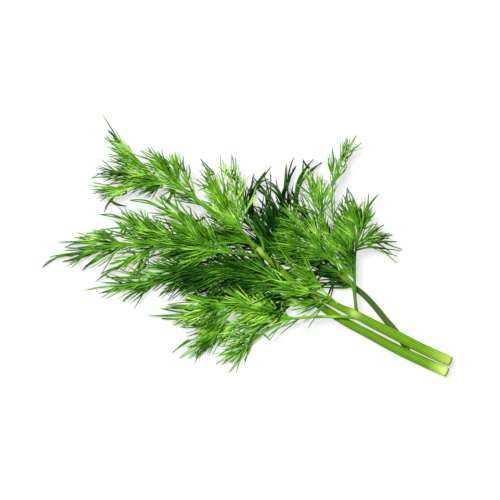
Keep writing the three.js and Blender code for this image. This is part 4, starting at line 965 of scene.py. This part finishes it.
# %% Stem materials
# The furrow, rib and upper colour of each finish. The upper colour is that of the stem's tip.
STEM_COLOURS = {
    "stem_green": ((0.08, 0.23, 0.001), (0.2, 0.42, 0.005), (0.035, 0.12, 0.002)),
    "dark_stem_green": ((0.035, 0.09, 0.004), (0.11, 0.19, 0.02), (0.08, 0.115, 0.012)),
}
DEEP_SHARE = 0.75
FLESH_COLOUR = (0.6, 0.76, 0.14, 1)
STEM_BUMP = 0.2
STEM_BUMP_HEIGHT = 0.1
STEM_ROUGHNESS = 0.42
STEM_SHINE = 0.15
STEM_WAX = 0.04


def stem_material(name):
    """Stem skin: green furrows between paler ribs, and a pale wet face where it was cut."""
    furrow, rib, upper = STEM_COLOURS[name]
    material = bpy.data.materials.new(name)
    material.use_nodes = True
    nodes, links = material.node_tree.nodes, material.node_tree.links
    shader = nodes["Principled BSDF"]
    growth_and_shade = growth_and_shade_parts(nodes, links)
    deep = [DEEP_SHARE * part for part in furrow]
    tissue = add_tissue(nodes, (deep, furrow, rib, upper))
    tissue.inputs["Cloud Size"].default_value = STEM_CLOUD
    pale = nodes.new("ShaderNodeRGB")
    pale.outputs["Color"].default_value = (*rib, 1)
    flesh = nodes.new("ShaderNodeRGB")
    flesh.outputs["Color"].default_value = FLESH_COLOUR
    skin = mix_colours(nodes, links, growth_and_shade["Green"], tissue.outputs["Color"], pale.outputs["Color"])
    colour = mix_colours(nodes, links, growth_and_shade["Blue"], skin, flesh.outputs["Color"])
    links.new(colour, shader.inputs["Base Color"])
    add_grain(nodes, links, tissue, shader, STEM_BUMP, STEM_BUMP_HEIGHT)
    shader.inputs["Roughness"].default_value = STEM_ROUGHNESS
    shader.inputs["Specular IOR Level"].default_value = STEM_SHINE
    shader.inputs["Coat Weight"].default_value = STEM_WAX
    return material


stem_materials = {name: stem_material(name) for name in STEM_COLOURS}
print("stem materials:", ", ".join(stem_materials))

# %% [markdown]
# ## A smooth line of growth
#
# A stem or rib never turns a corner, so its few points are joined by a smooth curve that passes
# through them all, and is then cut into even steps. The solids follow the same kind of curve.

# %% Smooth paths
SPAN_STEPS = 12
LINE_POINTS = 60
LEVEL_LIMIT = 0.01


def smooth_path(points, count):
    """count points, evenly spaced along a smooth curve through the given ones."""
    given = np.array(points, dtype=float)
    first = 2 * given[0] - given[1]
    last = 2 * given[-1] - given[-2]
    chain = np.vstack([first, given, last])
    knots = np.concatenate([[0], np.cumsum(np.linalg.norm(np.diff(chain, axis=0), axis=1) ** 0.5)])
    dense = []
    for i in range(1, len(chain) - 2):
        t = np.linspace(knots[i], knots[i + 1], SPAN_STEPS, endpoint=False)[:, None]
        k0, k1, k2, k3 = knots[i - 1:i + 3]
        p0, p1, p2, p3 = chain[i - 1:i + 3]
        a1 = (k1 - t) / (k1 - k0) * p0 + (t - k0) / (k1 - k0) * p1
        a2 = (k2 - t) / (k2 - k1) * p1 + (t - k1) / (k2 - k1) * p2
        a3 = (k3 - t) / (k3 - k2) * p2 + (t - k2) / (k3 - k2) * p3
        b1 = (k2 - t) / (k2 - k0) * a1 + (t - k0) / (k2 - k0) * a2
        b2 = (k3 - t) / (k3 - k1) * a2 + (t - k1) / (k3 - k1) * a3
        dense.append((k2 - t) / (k2 - k1) * b1 + (t - k1) / (k2 - k1) * b2)
    dense = np.vstack(dense + [given[-1:]])
    reach = np.concatenate([[0], np.cumsum(np.linalg.norm(np.diff(dense, axis=0), axis=1))])
    even = np.linspace(0, reach[-1], count)
    return np.stack([np.interp(even, reach, dense[:, axis]) for axis in range(given.shape[1])], axis=1)


def path_length(path):
    return float(np.linalg.norm(np.diff(path, axis=0), axis=1).sum())


def directions(paths):
    """Unit directions at each point of one path or of a stack of paths."""
    along = np.gradient(paths, axis=-2)
    return along / np.linalg.norm(along, axis=-1, keepdims=True)


def across(along):
    """Two unit directions square to each direction, the first one level with the table."""
    level = np.cross((0, 0, 1), along)
    size = np.linalg.norm(level, axis=-1, keepdims=True)
    level = np.where(size < LEVEL_LIMIT, (1, 0, 0), level / np.maximum(size, LEVEL_LIMIT))
    return level, np.cross(along, level)


stem_paths = {name: smooth_path(points, LINE_POINTS) for name, points in STEMS.items()}
for name, path in stem_paths.items():
    print(name, "length, mm:", round(path_length(path[:, :3]), 1))

# %% [markdown]
# ## One blank, modelled by hand
#
# A stem, a rib and a thread are all the same thing: a long round bar that follows a line. So each of
# the three is modelled once, by hand, as a straight blank: a circle is filled, extruded upwards ring by
# ring, and either closed in a point, for a rib or a thread, or finished with a cut face, for a stem.
# Every copy of a blank is then bent along its own line, and the copies of one leaf are joined, because
# they grew as one piece. An array modifier with a curve could bend one blank, but it can't give each of
# thousands of threads its own line, length and thickness.

# %% Blanks
THREAD_SIDES = 5
THREAD_RINGS = 5
RIB_SIDES = 8
RIB_RINGS = 24
STEM_SIDES = 48
STEM_RINGS = 60
# From the rim of the cut face inwards: the width of a ring, as a share of the radius, and how far all
# inside it is then moved along the stem. Less than 0 is outwards. What then stands out of the end does
# so by as many millimetres, and what lies inside is as many thousandths of the stem's length deep.
CUT_RINGS = ((0.08, -1.2), (0.14, 2.2), (0.3, -1.4), (0.3, -0.4))
FACES_DOWN = -0.9


def model_blank(name, sides, rings, pointed):
    """A straight bar of radius 1 from z = 0 to z = 1, closed in a point or in a flat end."""
    deselect_all()
    bpy.ops.mesh.primitive_circle_add(vertices=sides, radius=1, fill_type="NGON", location=(0, 0, 0))
    blank = bpy.context.object
    blank.name = name
    bpy.ops.object.mode_set(mode="EDIT")
    for _ in range(rings):
        bpy.ops.mesh.extrude_region_move(TRANSFORM_OT_translate={"value": (0, 0, 1 / rings)})
    if pointed:
        bpy.ops.mesh.merge(type="CENTER")
    bpy.ops.mesh.select_all(action="SELECT")
    bpy.ops.mesh.normals_make_consistent(inside=False)
    bpy.ops.object.mode_set(mode="OBJECT")
    return blank


def cut_the_foot(blank):
    """Finishes the foot of a stem blank: a thin rind, a groove inside it and a core that bulges."""
    bpy.ops.object.mode_set(mode="EDIT")
    bpy.ops.mesh.select_all(action="DESELECT")
    bpy.ops.object.mode_set(mode="OBJECT")
    for face in blank.data.polygons:
        face.select = face.normal.z < FACES_DOWN
    bpy.ops.object.mode_set(mode="EDIT")
    for width, shift in CUT_RINGS:
        bpy.ops.mesh.inset(thickness=width, depth=0)
        bpy.ops.transform.translate(value=(0, 0, shift * MM))
    bpy.ops.object.mode_set(mode="OBJECT")


def read_blank(blank):
    """The blank's corners, as height, reach from the axis and angle, and its faces. It is then removed."""
    corners = np.array([corner.co for corner in blank.data.vertices])
    faces = [tuple(face.vertices) for face in blank.data.polygons]
    reach = np.hypot(corners[:, 0], corners[:, 1])
    angle = np.arctan2(corners[:, 1], corners[:, 0])
    bpy.data.objects.remove(blank)
    return {"height": corners[:, 2], "reach": reach, "angle": angle, "faces": faces}


thread_blank = read_blank(model_blank("thread_blank", THREAD_SIDES, THREAD_RINGS, True))
rib_blank = read_blank(model_blank("rib_blank", RIB_SIDES, RIB_RINGS, True))
stem_model = model_blank("stem_blank", STEM_SIDES, STEM_RINGS, False)
cut_the_foot(stem_model)
stem_blank = read_blank(stem_model)
for title, blank in (("thread", thread_blank), ("rib", rib_blank), ("stem", stem_blank)):
    print("faces of a", title + ":", len(blank["faces"]))

# %% [markdown]
# ## Bending a blank along its line
#
# Each ring of the blank is carried to its place on the line, stood square to it, and given the radius
# that belongs there. What stands out of the foot, at the cut face, isn't stretched with the rest. All
# threads of a leaf are bent at once, as one array, because a loop over tens of thousands of corners
# would be slow.

# %% Bend and join
def bend(blank, paths, radii):
    """Corners of one copy of the blank for each path, in mm. paths is (copies, rings, 3)."""
    rings = paths.shape[1] - 1
    height = np.clip(blank["height"], 0, 1)
    over = (blank["height"] - height)[None, :, None] / MM
    ring = height * rings
    low = np.minimum(ring.astype(int), rings - 1)
    part = (ring - low)[None, :, None]
    along = directions(paths)
    level, other = across(along)

    def between(values):
        return values[:, low] * (1 - part) + values[:, low + 1] * part

    reach = blank["reach"][None, :, None] * between(radii[:, :, None])
    angle = blank["angle"][None, :, None]
    place = between(paths) + over * between(along)
    return place + reach * (np.cos(angle) * between(level) + np.sin(angle) * between(other))


def join_copies(blank, corners, growth_and_shade):
    """One list of corners, faces and growth_and_shade numbers for all copies of the blank."""
    copies, size = corners.shape[:2]
    faces = []
    for copy in range(copies):
        faces += [tuple(index + copy * size for index in face) for face in blank["faces"]]
    return corners.reshape(-1, 3), faces, growth_and_shade.reshape(-1, 4)


def make_piece(name, parts, material):
    """A mesh object at the origin from several joined parts, in metres."""
    corners, faces, growth_and_shade = [], [], []
    count = 0
    for part_corners, part_faces, part_growth in parts:
        corners.append(part_corners)
        growth_and_shade.append(part_growth)
        faces += [tuple(index + count for index in face) for face in part_faces]
        count += len(part_corners)
    places = (np.vstack(corners) - MIDDLE) * MM
    mesh = bpy.data.meshes.new(name)
    mesh.from_pydata(places.tolist(), [], faces)
    colours = mesh.color_attributes.new(name="growth_and_shade", type="FLOAT_COLOR", domain="POINT")
    colours.data.foreach_set("color", np.vstack(growth_and_shade).astype(np.float32).ravel())
    mesh.materials.append(material)
    mesh.shade_smooth()
    piece = bpy.data.objects.new(name, mesh)
    bpy.context.scene.collection.objects.link(piece)
    return piece


longest = max(path_length(path[:, :3]) for path in stem_paths.values())
print("largest step between rings of a stem, mm:", round(longest / STEM_RINGS, 2))

# %% [markdown]
# ## Stems
#
# A dill stem is round with fine raised ribs along it. The ribs are real relief: the blank's reach is
# made a little larger at each rib. The pale rib lines, and the pale flesh of the cut face, come from the
# growth_and_shade attribute, so they follow the stem exactly.

# %% Model the stems
STEM_RIBS = 14
RIB_RELIEF = 0.035
RIB_LEVEL = 0.7
RIB_PALE = 0.9
RIB_FADE = 0.7
SKIN_REACH = 0.99
FLESH_REACH = 0.93
# The place x, y of each node, where stalks leave a stem, and how pale it is.
STEM_NODES = ((43.6, -27.2, 0.5), (5.5, -2.3, 0.4), (40, -13.5, 0.15))
NODE_REACH = 1.9
NODE_SWELL = 0.22
FOOT_REACH = 0.13
FOOT_FADE = 1.5
FOOT_PALE = {"stem_upper": 0.5, "stem_lower": 0.95, "stem_side": 0}
STEM_FINISH = {"stem_upper": "stem_green", "stem_lower": "stem_green", "stem_side": "dark_stem_green"}


def model_stem(name):
    """A stem with its ribs, nodes and cut face, set on the node that it replaces."""
    path = smooth_path(STEMS[name], STEM_RINGS + 1)
    blank = dict(stem_blank)
    wave = 0.5 + 0.5 * np.cos(blank["angle"] * STEM_RIBS)
    skin = blank["reach"] > SKIN_REACH
    blank["reach"] = blank["reach"] * np.where(skin, 1 + RIB_RELIEF * (wave ** 2 - RIB_LEVEL), 1)
    near_node = np.zeros(len(path))
    for x, y, pale in STEM_NODES:
        gap = np.linalg.norm(path[:, :2] - (x, y), axis=1)
        near_node = np.maximum(near_node, pale * np.exp(-(gap / NODE_REACH) ** 2))
    corners = bend(blank, path[None, :, :3], path[None, :, 3] * (1 + NODE_SWELL * near_node))
    corners[..., 2] = np.maximum(corners[..., 2], 0.0)
    share = np.clip(blank["height"], 0, 1)
    at_node = np.interp(share, np.linspace(0, 1, len(path)), near_node)
    at_foot = np.clip(1 - share / FOOT_REACH, 0, 1)
    cut_face = (blank["reach"] < FLESH_REACH) & (share < 0.5)
    growth_and_shade = np.ones((1, len(share), 4))
    growth_and_shade[0, :, 0] = share
    growth_and_shade[0, :, 1] = np.where(skin, wave ** 2 * (RIB_PALE - RIB_FADE * share), 0)
    growth_and_shade[0, :, 2] = np.where(cut_face, 1, at_node + FOOT_PALE[name] * at_foot ** FOOT_FADE)
    part = join_copies(blank, corners, growth_and_shade)
    piece = make_piece(name + "_skin", [part], stem_materials[STEM_FINISH[name]])
    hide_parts(name)
    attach(piece, "root")
    return piece


for name in STEMS:
    stem = model_stem(name)
    print(stem.name, "faces:", len(stem.data.polygons))

# %% [markdown]
# ## Leaves
#
# A dill leaf divides again and again: the stalk bears side ribs, a side rib bears short twigs, and a
# twig bears up to two threads. Each part points forwards, mostly bends a little further forwards, and
# stands at a chance angle round the one that bears it, because a leaf isn't flat. The draw is seeded,
# so the bunch grows the same way each time.

# %% Growth rule, in millimetres and degrees
# A pair of numbers with CHANCE in its name is the range of a factor that is drawn by chance, and
# TWIG_STEP_CHANCE is how far along the step to the next twig chance may move a twig. LOSS is the share
# by which a twig at the tip of its rib is shorter, or stands closer to it, than one at the root. On a
# short rib, about LEAST_SHARE of it bears twigs. THREAD_ROOM is how much of a twig has to be left
# beyond the place of a thread, and THREAD_ROOM_GROWTH the share more that the next place asks. A twig
# may end TIP_REACH beyond the tip of its rib.
TWIG_STEP = 1.7
TWIG_STEP_CHANCE = 0.8
TWIG_LENGTH = 18.0
TWIG_LENGTH_CHANCE = (0.75, 1.1)
TWIG_LENGTH_LOSS = 0.4
TWIG_SPREAD = 30
TWIG_SPREAD_CHANCE = (0.75, 1.15)
TWIG_SPREAD_LOSS = 0.35
TWIG_ROLL = 42
TWIG_BEND_CHANCE = (0.4, 1.5)
TWIG_RADIUS = 0.26
LEAST_SHARE = 0.48
THREAD_PLACES = (0.1, 0.3)
THREAD_PLACE_CHANCE = (0.8, 1.2)
THREAD_ROOM = 3.8
THREAD_ROOM_GROWTH = 0.3
THREAD_CROWD = 1.25
THREAD_LENGTH_CHANCE = (0.75, 1.15)
THREAD_SPREAD = 12
THREAD_SPREAD_CHANCE = (0.6, 1.5)
THREAD_ROLL = 40
THREAD_BEND_CHANCE = (-0.2, 1.6)
THREAD_RADIUS = 0.23
STRAND_RADIUS = 0.4
TIP_RADIUS = 0.12
TIP_REACH = 4
TAPER = 1.6
LAST_STRETCH = 9
LAST_TAPER = 0.8
FORWARD_BEND = 0.36
SIDE_RIB_BARE = 0.04
SIDE_RIB_RADIUS = 0.42
FINE_POINTS = 120
RIB_NEAR = 0.5
STEM_ROOM = 0.35
# A thread that would end beyond the solids' box, less a margin, is made shorter by BOX_CUT times what
# is over, but not below a share of SHORTEST_CUT.
BOX_MARGIN = 0.4
BOX_CUT = 1.3
SHORTEST_CUT = 0.25
# The painted shade deep in the bunch: its middle, how far out it reaches, the height where it ends, and
# how much darker a thread is painted for each millimetre below that.
CORE = (8, -2)
CORE_REACH = 35
CORE_TOP = 10.5
CORE_PAINTED_SHADE = 0.07
# How far the shade of each kind is from its leaf's tone, and how far chance moves it.
RIB_SHADE = -0.08
STRAND_SHADE = -0.15
TWIG_SHADE_CHANCE = 0.26
THREAD_SHADE_CHANCE = 0.3
STRAND_SHADE_CHANCE = 0.25


def spread_from(along, side, spread, roll):
    """A direction that leaves along at an angle, to one side, rolled round it."""
    level, other = across(along)
    spread, roll = math.radians(spread), math.radians(roll)
    sideways = side * math.cos(roll) * level + math.sin(roll) * other
    return math.cos(spread) * along + math.sin(spread) * sideways


box_low = np.array(cad_low) / MM + MIDDLE + BOX_MARGIN
box_high = np.array(cad_high) / MM + MIDDLE - BOX_MARGIN


def thread_path(root, start, forward, length, bend_share):
    """A line that starts one way and bends towards another, shortened if it would leave the box."""
    t = np.linspace(0, 1, THREAD_RINGS + 1)[:, None]
    bent = length * (t * start + bend_share * t ** 2 * (forward - start))
    path = root + bent
    tip = path[-1]
    over = max((box_low - tip)[:2].max(), (tip - box_high).max(), 0)
    if over > 0:
        path = root + bent * max(SHORTEST_CUT, 1 - BOX_CUT * over / length)
    path[:, 2] = np.maximum(path[:, 2], THREAD_FLOOR_GAP)
    return path


# The line of each stem, to keep threads out of the stems.
stem_lines = np.vstack(list(stem_paths.values()))


def led_past_stems(path):
    """The same line, lifted from its root on so that it passes over a stem that it would run into."""
    gaps = np.linalg.norm(path[:, None, :2] - stem_lines[None, :, :2], axis=2)
    stem = stem_lines[gaps.argmin(axis=1)]
    room = stem[:, 3] + STEM_ROOM
    above = path[:, 2] - stem[:, 2]
    lift = np.where((gaps.min(axis=1) < room) & (abs(above) < room), room - above, 0)
    lift[0] = 0
    if lift.max() > 0:
        path[:, 2] += lift.max() * np.minimum(1, np.arange(len(path)) / lift.argmax())
    return path


def taper(radius, count):
    """Radii that hold near the root and close towards the tip."""
    t = np.linspace(0, 1, count)
    return TIP_RADIUS + (radius - TIP_RADIUS) * (1 - t ** TAPER)


def rib_radii(radius, length):
    """A rib thins evenly to a thread's size, and its last stretch closes to a tip."""
    t = np.linspace(0, 1, RIB_RINGS + 1)
    even = radius + (THREAD_RADIUS - radius) * t
    last = np.clip((1 - t) * length / LAST_STRETCH, 0, 1) ** LAST_TAPER
    return TIP_RADIUS + (even - TIP_RADIUS) * last


def painted_depth_shade(point):
    """How much darker a thread deep in the bunch is painted: painted shade, for the light kept off it above.
    """
    core = math.exp(-((point[0] - CORE[0]) ** 2 + (point[1] - CORE[1]) ** 2) / CORE_REACH ** 2)
    return CORE_PAINTED_SHADE * max(0, CORE_TOP - point[2]) * core


def grow_twig(leaf, root, along, side, reach, share, draw, tone):
    """One twig and the threads on it, which all end near the twig's own tip."""
    spread = TWIG_SPREAD * draw.uniform(*TWIG_SPREAD_CHANCE) * (1 - TWIG_SPREAD_LOSS * share)
    start = spread_from(along, side, spread, draw.uniform(-TWIG_ROLL, TWIG_ROLL)) + leaf["lean"]
    start /= np.linalg.norm(start)
    bend_share = leaf["curl"] * FORWARD_BEND * draw.uniform(*TWIG_BEND_CHANCE)
    twig = led_past_stems(thread_path(root, start, along, reach, bend_share))
    grown = [(twig, taper(TWIG_RADIUS, THREAD_RINGS + 1), tone)]
    twig_along = directions(twig)
    first = draw.choice((-1, 1))
    for j, place in enumerate(THREAD_PLACES):
        room = THREAD_ROOM * (1 + j * THREAD_ROOM_GROWTH)
        if draw.random() > leaf["crowd"] * (THREAD_CROWD - share) or reach * (1 - place) < room:
            continue
        at = place * draw.uniform(*THREAD_PLACE_CHANCE) * THREAD_RINGS
        low = int(at)
        spot = twig[low] + (twig[low + 1] - twig[low]) * (at - low)
        size = reach * (1 - place) * draw.uniform(*THREAD_LENGTH_CHANCE)
        way = first if j % 2 == 0 else -first
        spread = THREAD_SPREAD * draw.uniform(*THREAD_SPREAD_CHANCE)
        start = spread_from(twig_along[low], way, spread, draw.uniform(-THREAD_ROLL, THREAD_ROLL))
        bend_share = leaf["curl"] * FORWARD_BEND * draw.uniform(*THREAD_BEND_CHANCE)
        thread = led_past_stems(thread_path(spot, start, twig_along[low], size, bend_share))
        shade = tone + draw.uniform(-THREAD_SHADE_CHANCE, THREAD_SHADE_CHANCE)
        grown.append((thread, taper(THREAD_RADIUS, THREAD_RINGS + 1), shade))
    return grown


def painted_lift_at(leaf, spot):
    """How much lighter the leaf is painted there, from its root to its tip: painted light out of the bunch's
    shade.
    """
    root, tip = np.array(leaf["main"][0]), np.array(leaf["main"][-1])
    return leaf["lift"] * min(1, np.linalg.norm(spot - root) / np.linalg.norm(tip - root))


def rooted(strand, rib_lines):
    """The strand's points, with its root led back to the nearest rib or stem."""
    root = np.array(strand[0], dtype=float)
    gaps = np.linalg.norm(rib_lines - root, axis=1)
    nearest = rib_lines[gaps.argmin()]
    return strand if gaps.min() < RIB_NEAR else [tuple(nearest)] + strand


def grow_on_rib(leaf, fine, length, bare, density, draw):
    """The twigs and threads of one rib, whose fine path is given. bare is the share with none."""
    threads = []
    along = directions(fine)
    grown = max(LEAST_SHARE - bare / 2, 1 - bare - leaf["edge"] / length)
    count = round(density * length * (1 - bare) / TWIG_STEP)
    for i in range(count):
        share = bare + grown * (i + draw.random() * TWIG_STEP_CHANCE) / count
        spot = int(share * (FINE_POINTS - 1))
        root = fine[spot]
        full = leaf["length"] * TWIG_LENGTH * (1 - TWIG_LENGTH_LOSS * share)
        reach = min(full, (1 - share) * length + TIP_REACH) * draw.uniform(*TWIG_LENGTH_CHANCE)
        # Painted light and shade: the leaf's tone, painted lighter towards its tip and darker deep in the
        # bunch.
        tone = leaf["tone"] + painted_lift_at(leaf, root) - painted_depth_shade(root)
        tone += draw.uniform(-TWIG_SHADE_CHANCE, TWIG_SHADE_CHANCE)
        side = 1 if i % 2 == 0 else -1
        threads += grow_twig(leaf, root, along[spot], side, reach, share, draw, tone)
    return threads


def grow_leaf(leaf, draw):
    """The ribs and strands of one leaf, and its threads, each as a path, radii and a shade."""
    ribs, threads = [], []
    lines = [(leaf["main"], leaf["stalk"], leaf["bare"], leaf["density"])]
    lines += [(side, SIDE_RIB_RADIUS, SIDE_RIB_BARE, density) for density, side in leaf["sides"]]
    for points, radius, bare, density in lines:
        path = smooth_path(points, RIB_RINGS + 1)
        path[:, 2] = np.maximum(path[:, 2], FLOOR_GAP)
        fine = smooth_path(points, FINE_POINTS)
        length = path_length(fine)
        # The rib's shade carries the leaf's painted light towards its tip.
        shade = leaf["tone"] + RIB_SHADE + painted_lift_at(leaf, fine[FINE_POINTS // 2])
        ribs.append((path, rib_radii(radius, length), shade))
        threads += grow_on_rib(leaf, fine, length, bare, density, draw)
    rib_lines = [smooth_path(line[0], LINE_POINTS) for line in lines]
    rib_lines = np.vstack(rib_lines + [stem_lines[:, :3]])
    for strand in leaf["strands"]:
        path = smooth_path(rooted(strand, rib_lines), RIB_RINGS + 1)
        path[:, 2] = np.maximum(path[:, 2], STRAND_FLOOR_GAP)
        # The strand's shade carries the leaf's painted light towards its tip.
        shade = leaf["tone"] + STRAND_SHADE + painted_lift_at(leaf, path[-1])
        shade += draw.uniform(-STRAND_SHADE_CHANCE, STRAND_SHADE_CHANCE)
        ribs.append((path, taper(STRAND_RADIUS, RIB_RINGS + 1), shade))
    return ribs, threads


def growth_and_shade_numbers(blank, shades, end):
    """The growth_and_shade attribute of copies of a blank: how far along, from 0 to end, and how light it is
    painted.
    """
    numbers = np.ones((len(shades), len(blank["height"]), 4))
    numbers[:, :, 0] = np.clip(blank["height"], 0, 1)[None, :] * end
    # Green is the shade: painted light and shade, with tone that varies at random.
    numbers[:, :, 1] = np.clip(shades, 0, 1)[:, None]
    return numbers


# A rib's growth ends at half, so that only the threads get the dull colour of a tip.
RIB_END = 0.5
THREAD_END = 1.0
FIRST_SEED = 40


def model_leaf(name, leaf, seed):
    """A leaf with its ribs, strands and threads, set on the node that it replaces."""
    ribs, threads = grow_leaf(leaf, random.Random(seed))
    parts = []
    for blank, grown, end in ((rib_blank, ribs, RIB_END), (thread_blank, threads, THREAD_END)):
        paths = np.array([path for path, _, _ in grown])
        radii = np.array([radius for _, radius, _ in grown]) * leaf["girth"]
        shades = [shade for _, _, shade in grown]
        corners = bend(blank, paths, radii)
        corners[..., 2] = np.maximum(corners[..., 2], 0.0)
        parts.append(join_copies(blank, corners, growth_and_shade_numbers(blank, shades, end)))
    piece = make_piece(name + "_threads", parts, leaf_materials[leaf["finish"]])
    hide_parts(name)
    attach(piece, "root")
    return piece, len(threads)


for order, (name, leaf) in enumerate(LEAVES.items()):
    piece, count = model_leaf(name, leaf, FIRST_SEED + order)
    print(piece.name, "twigs and threads:", count, "faces:", len(piece.data.polygons))
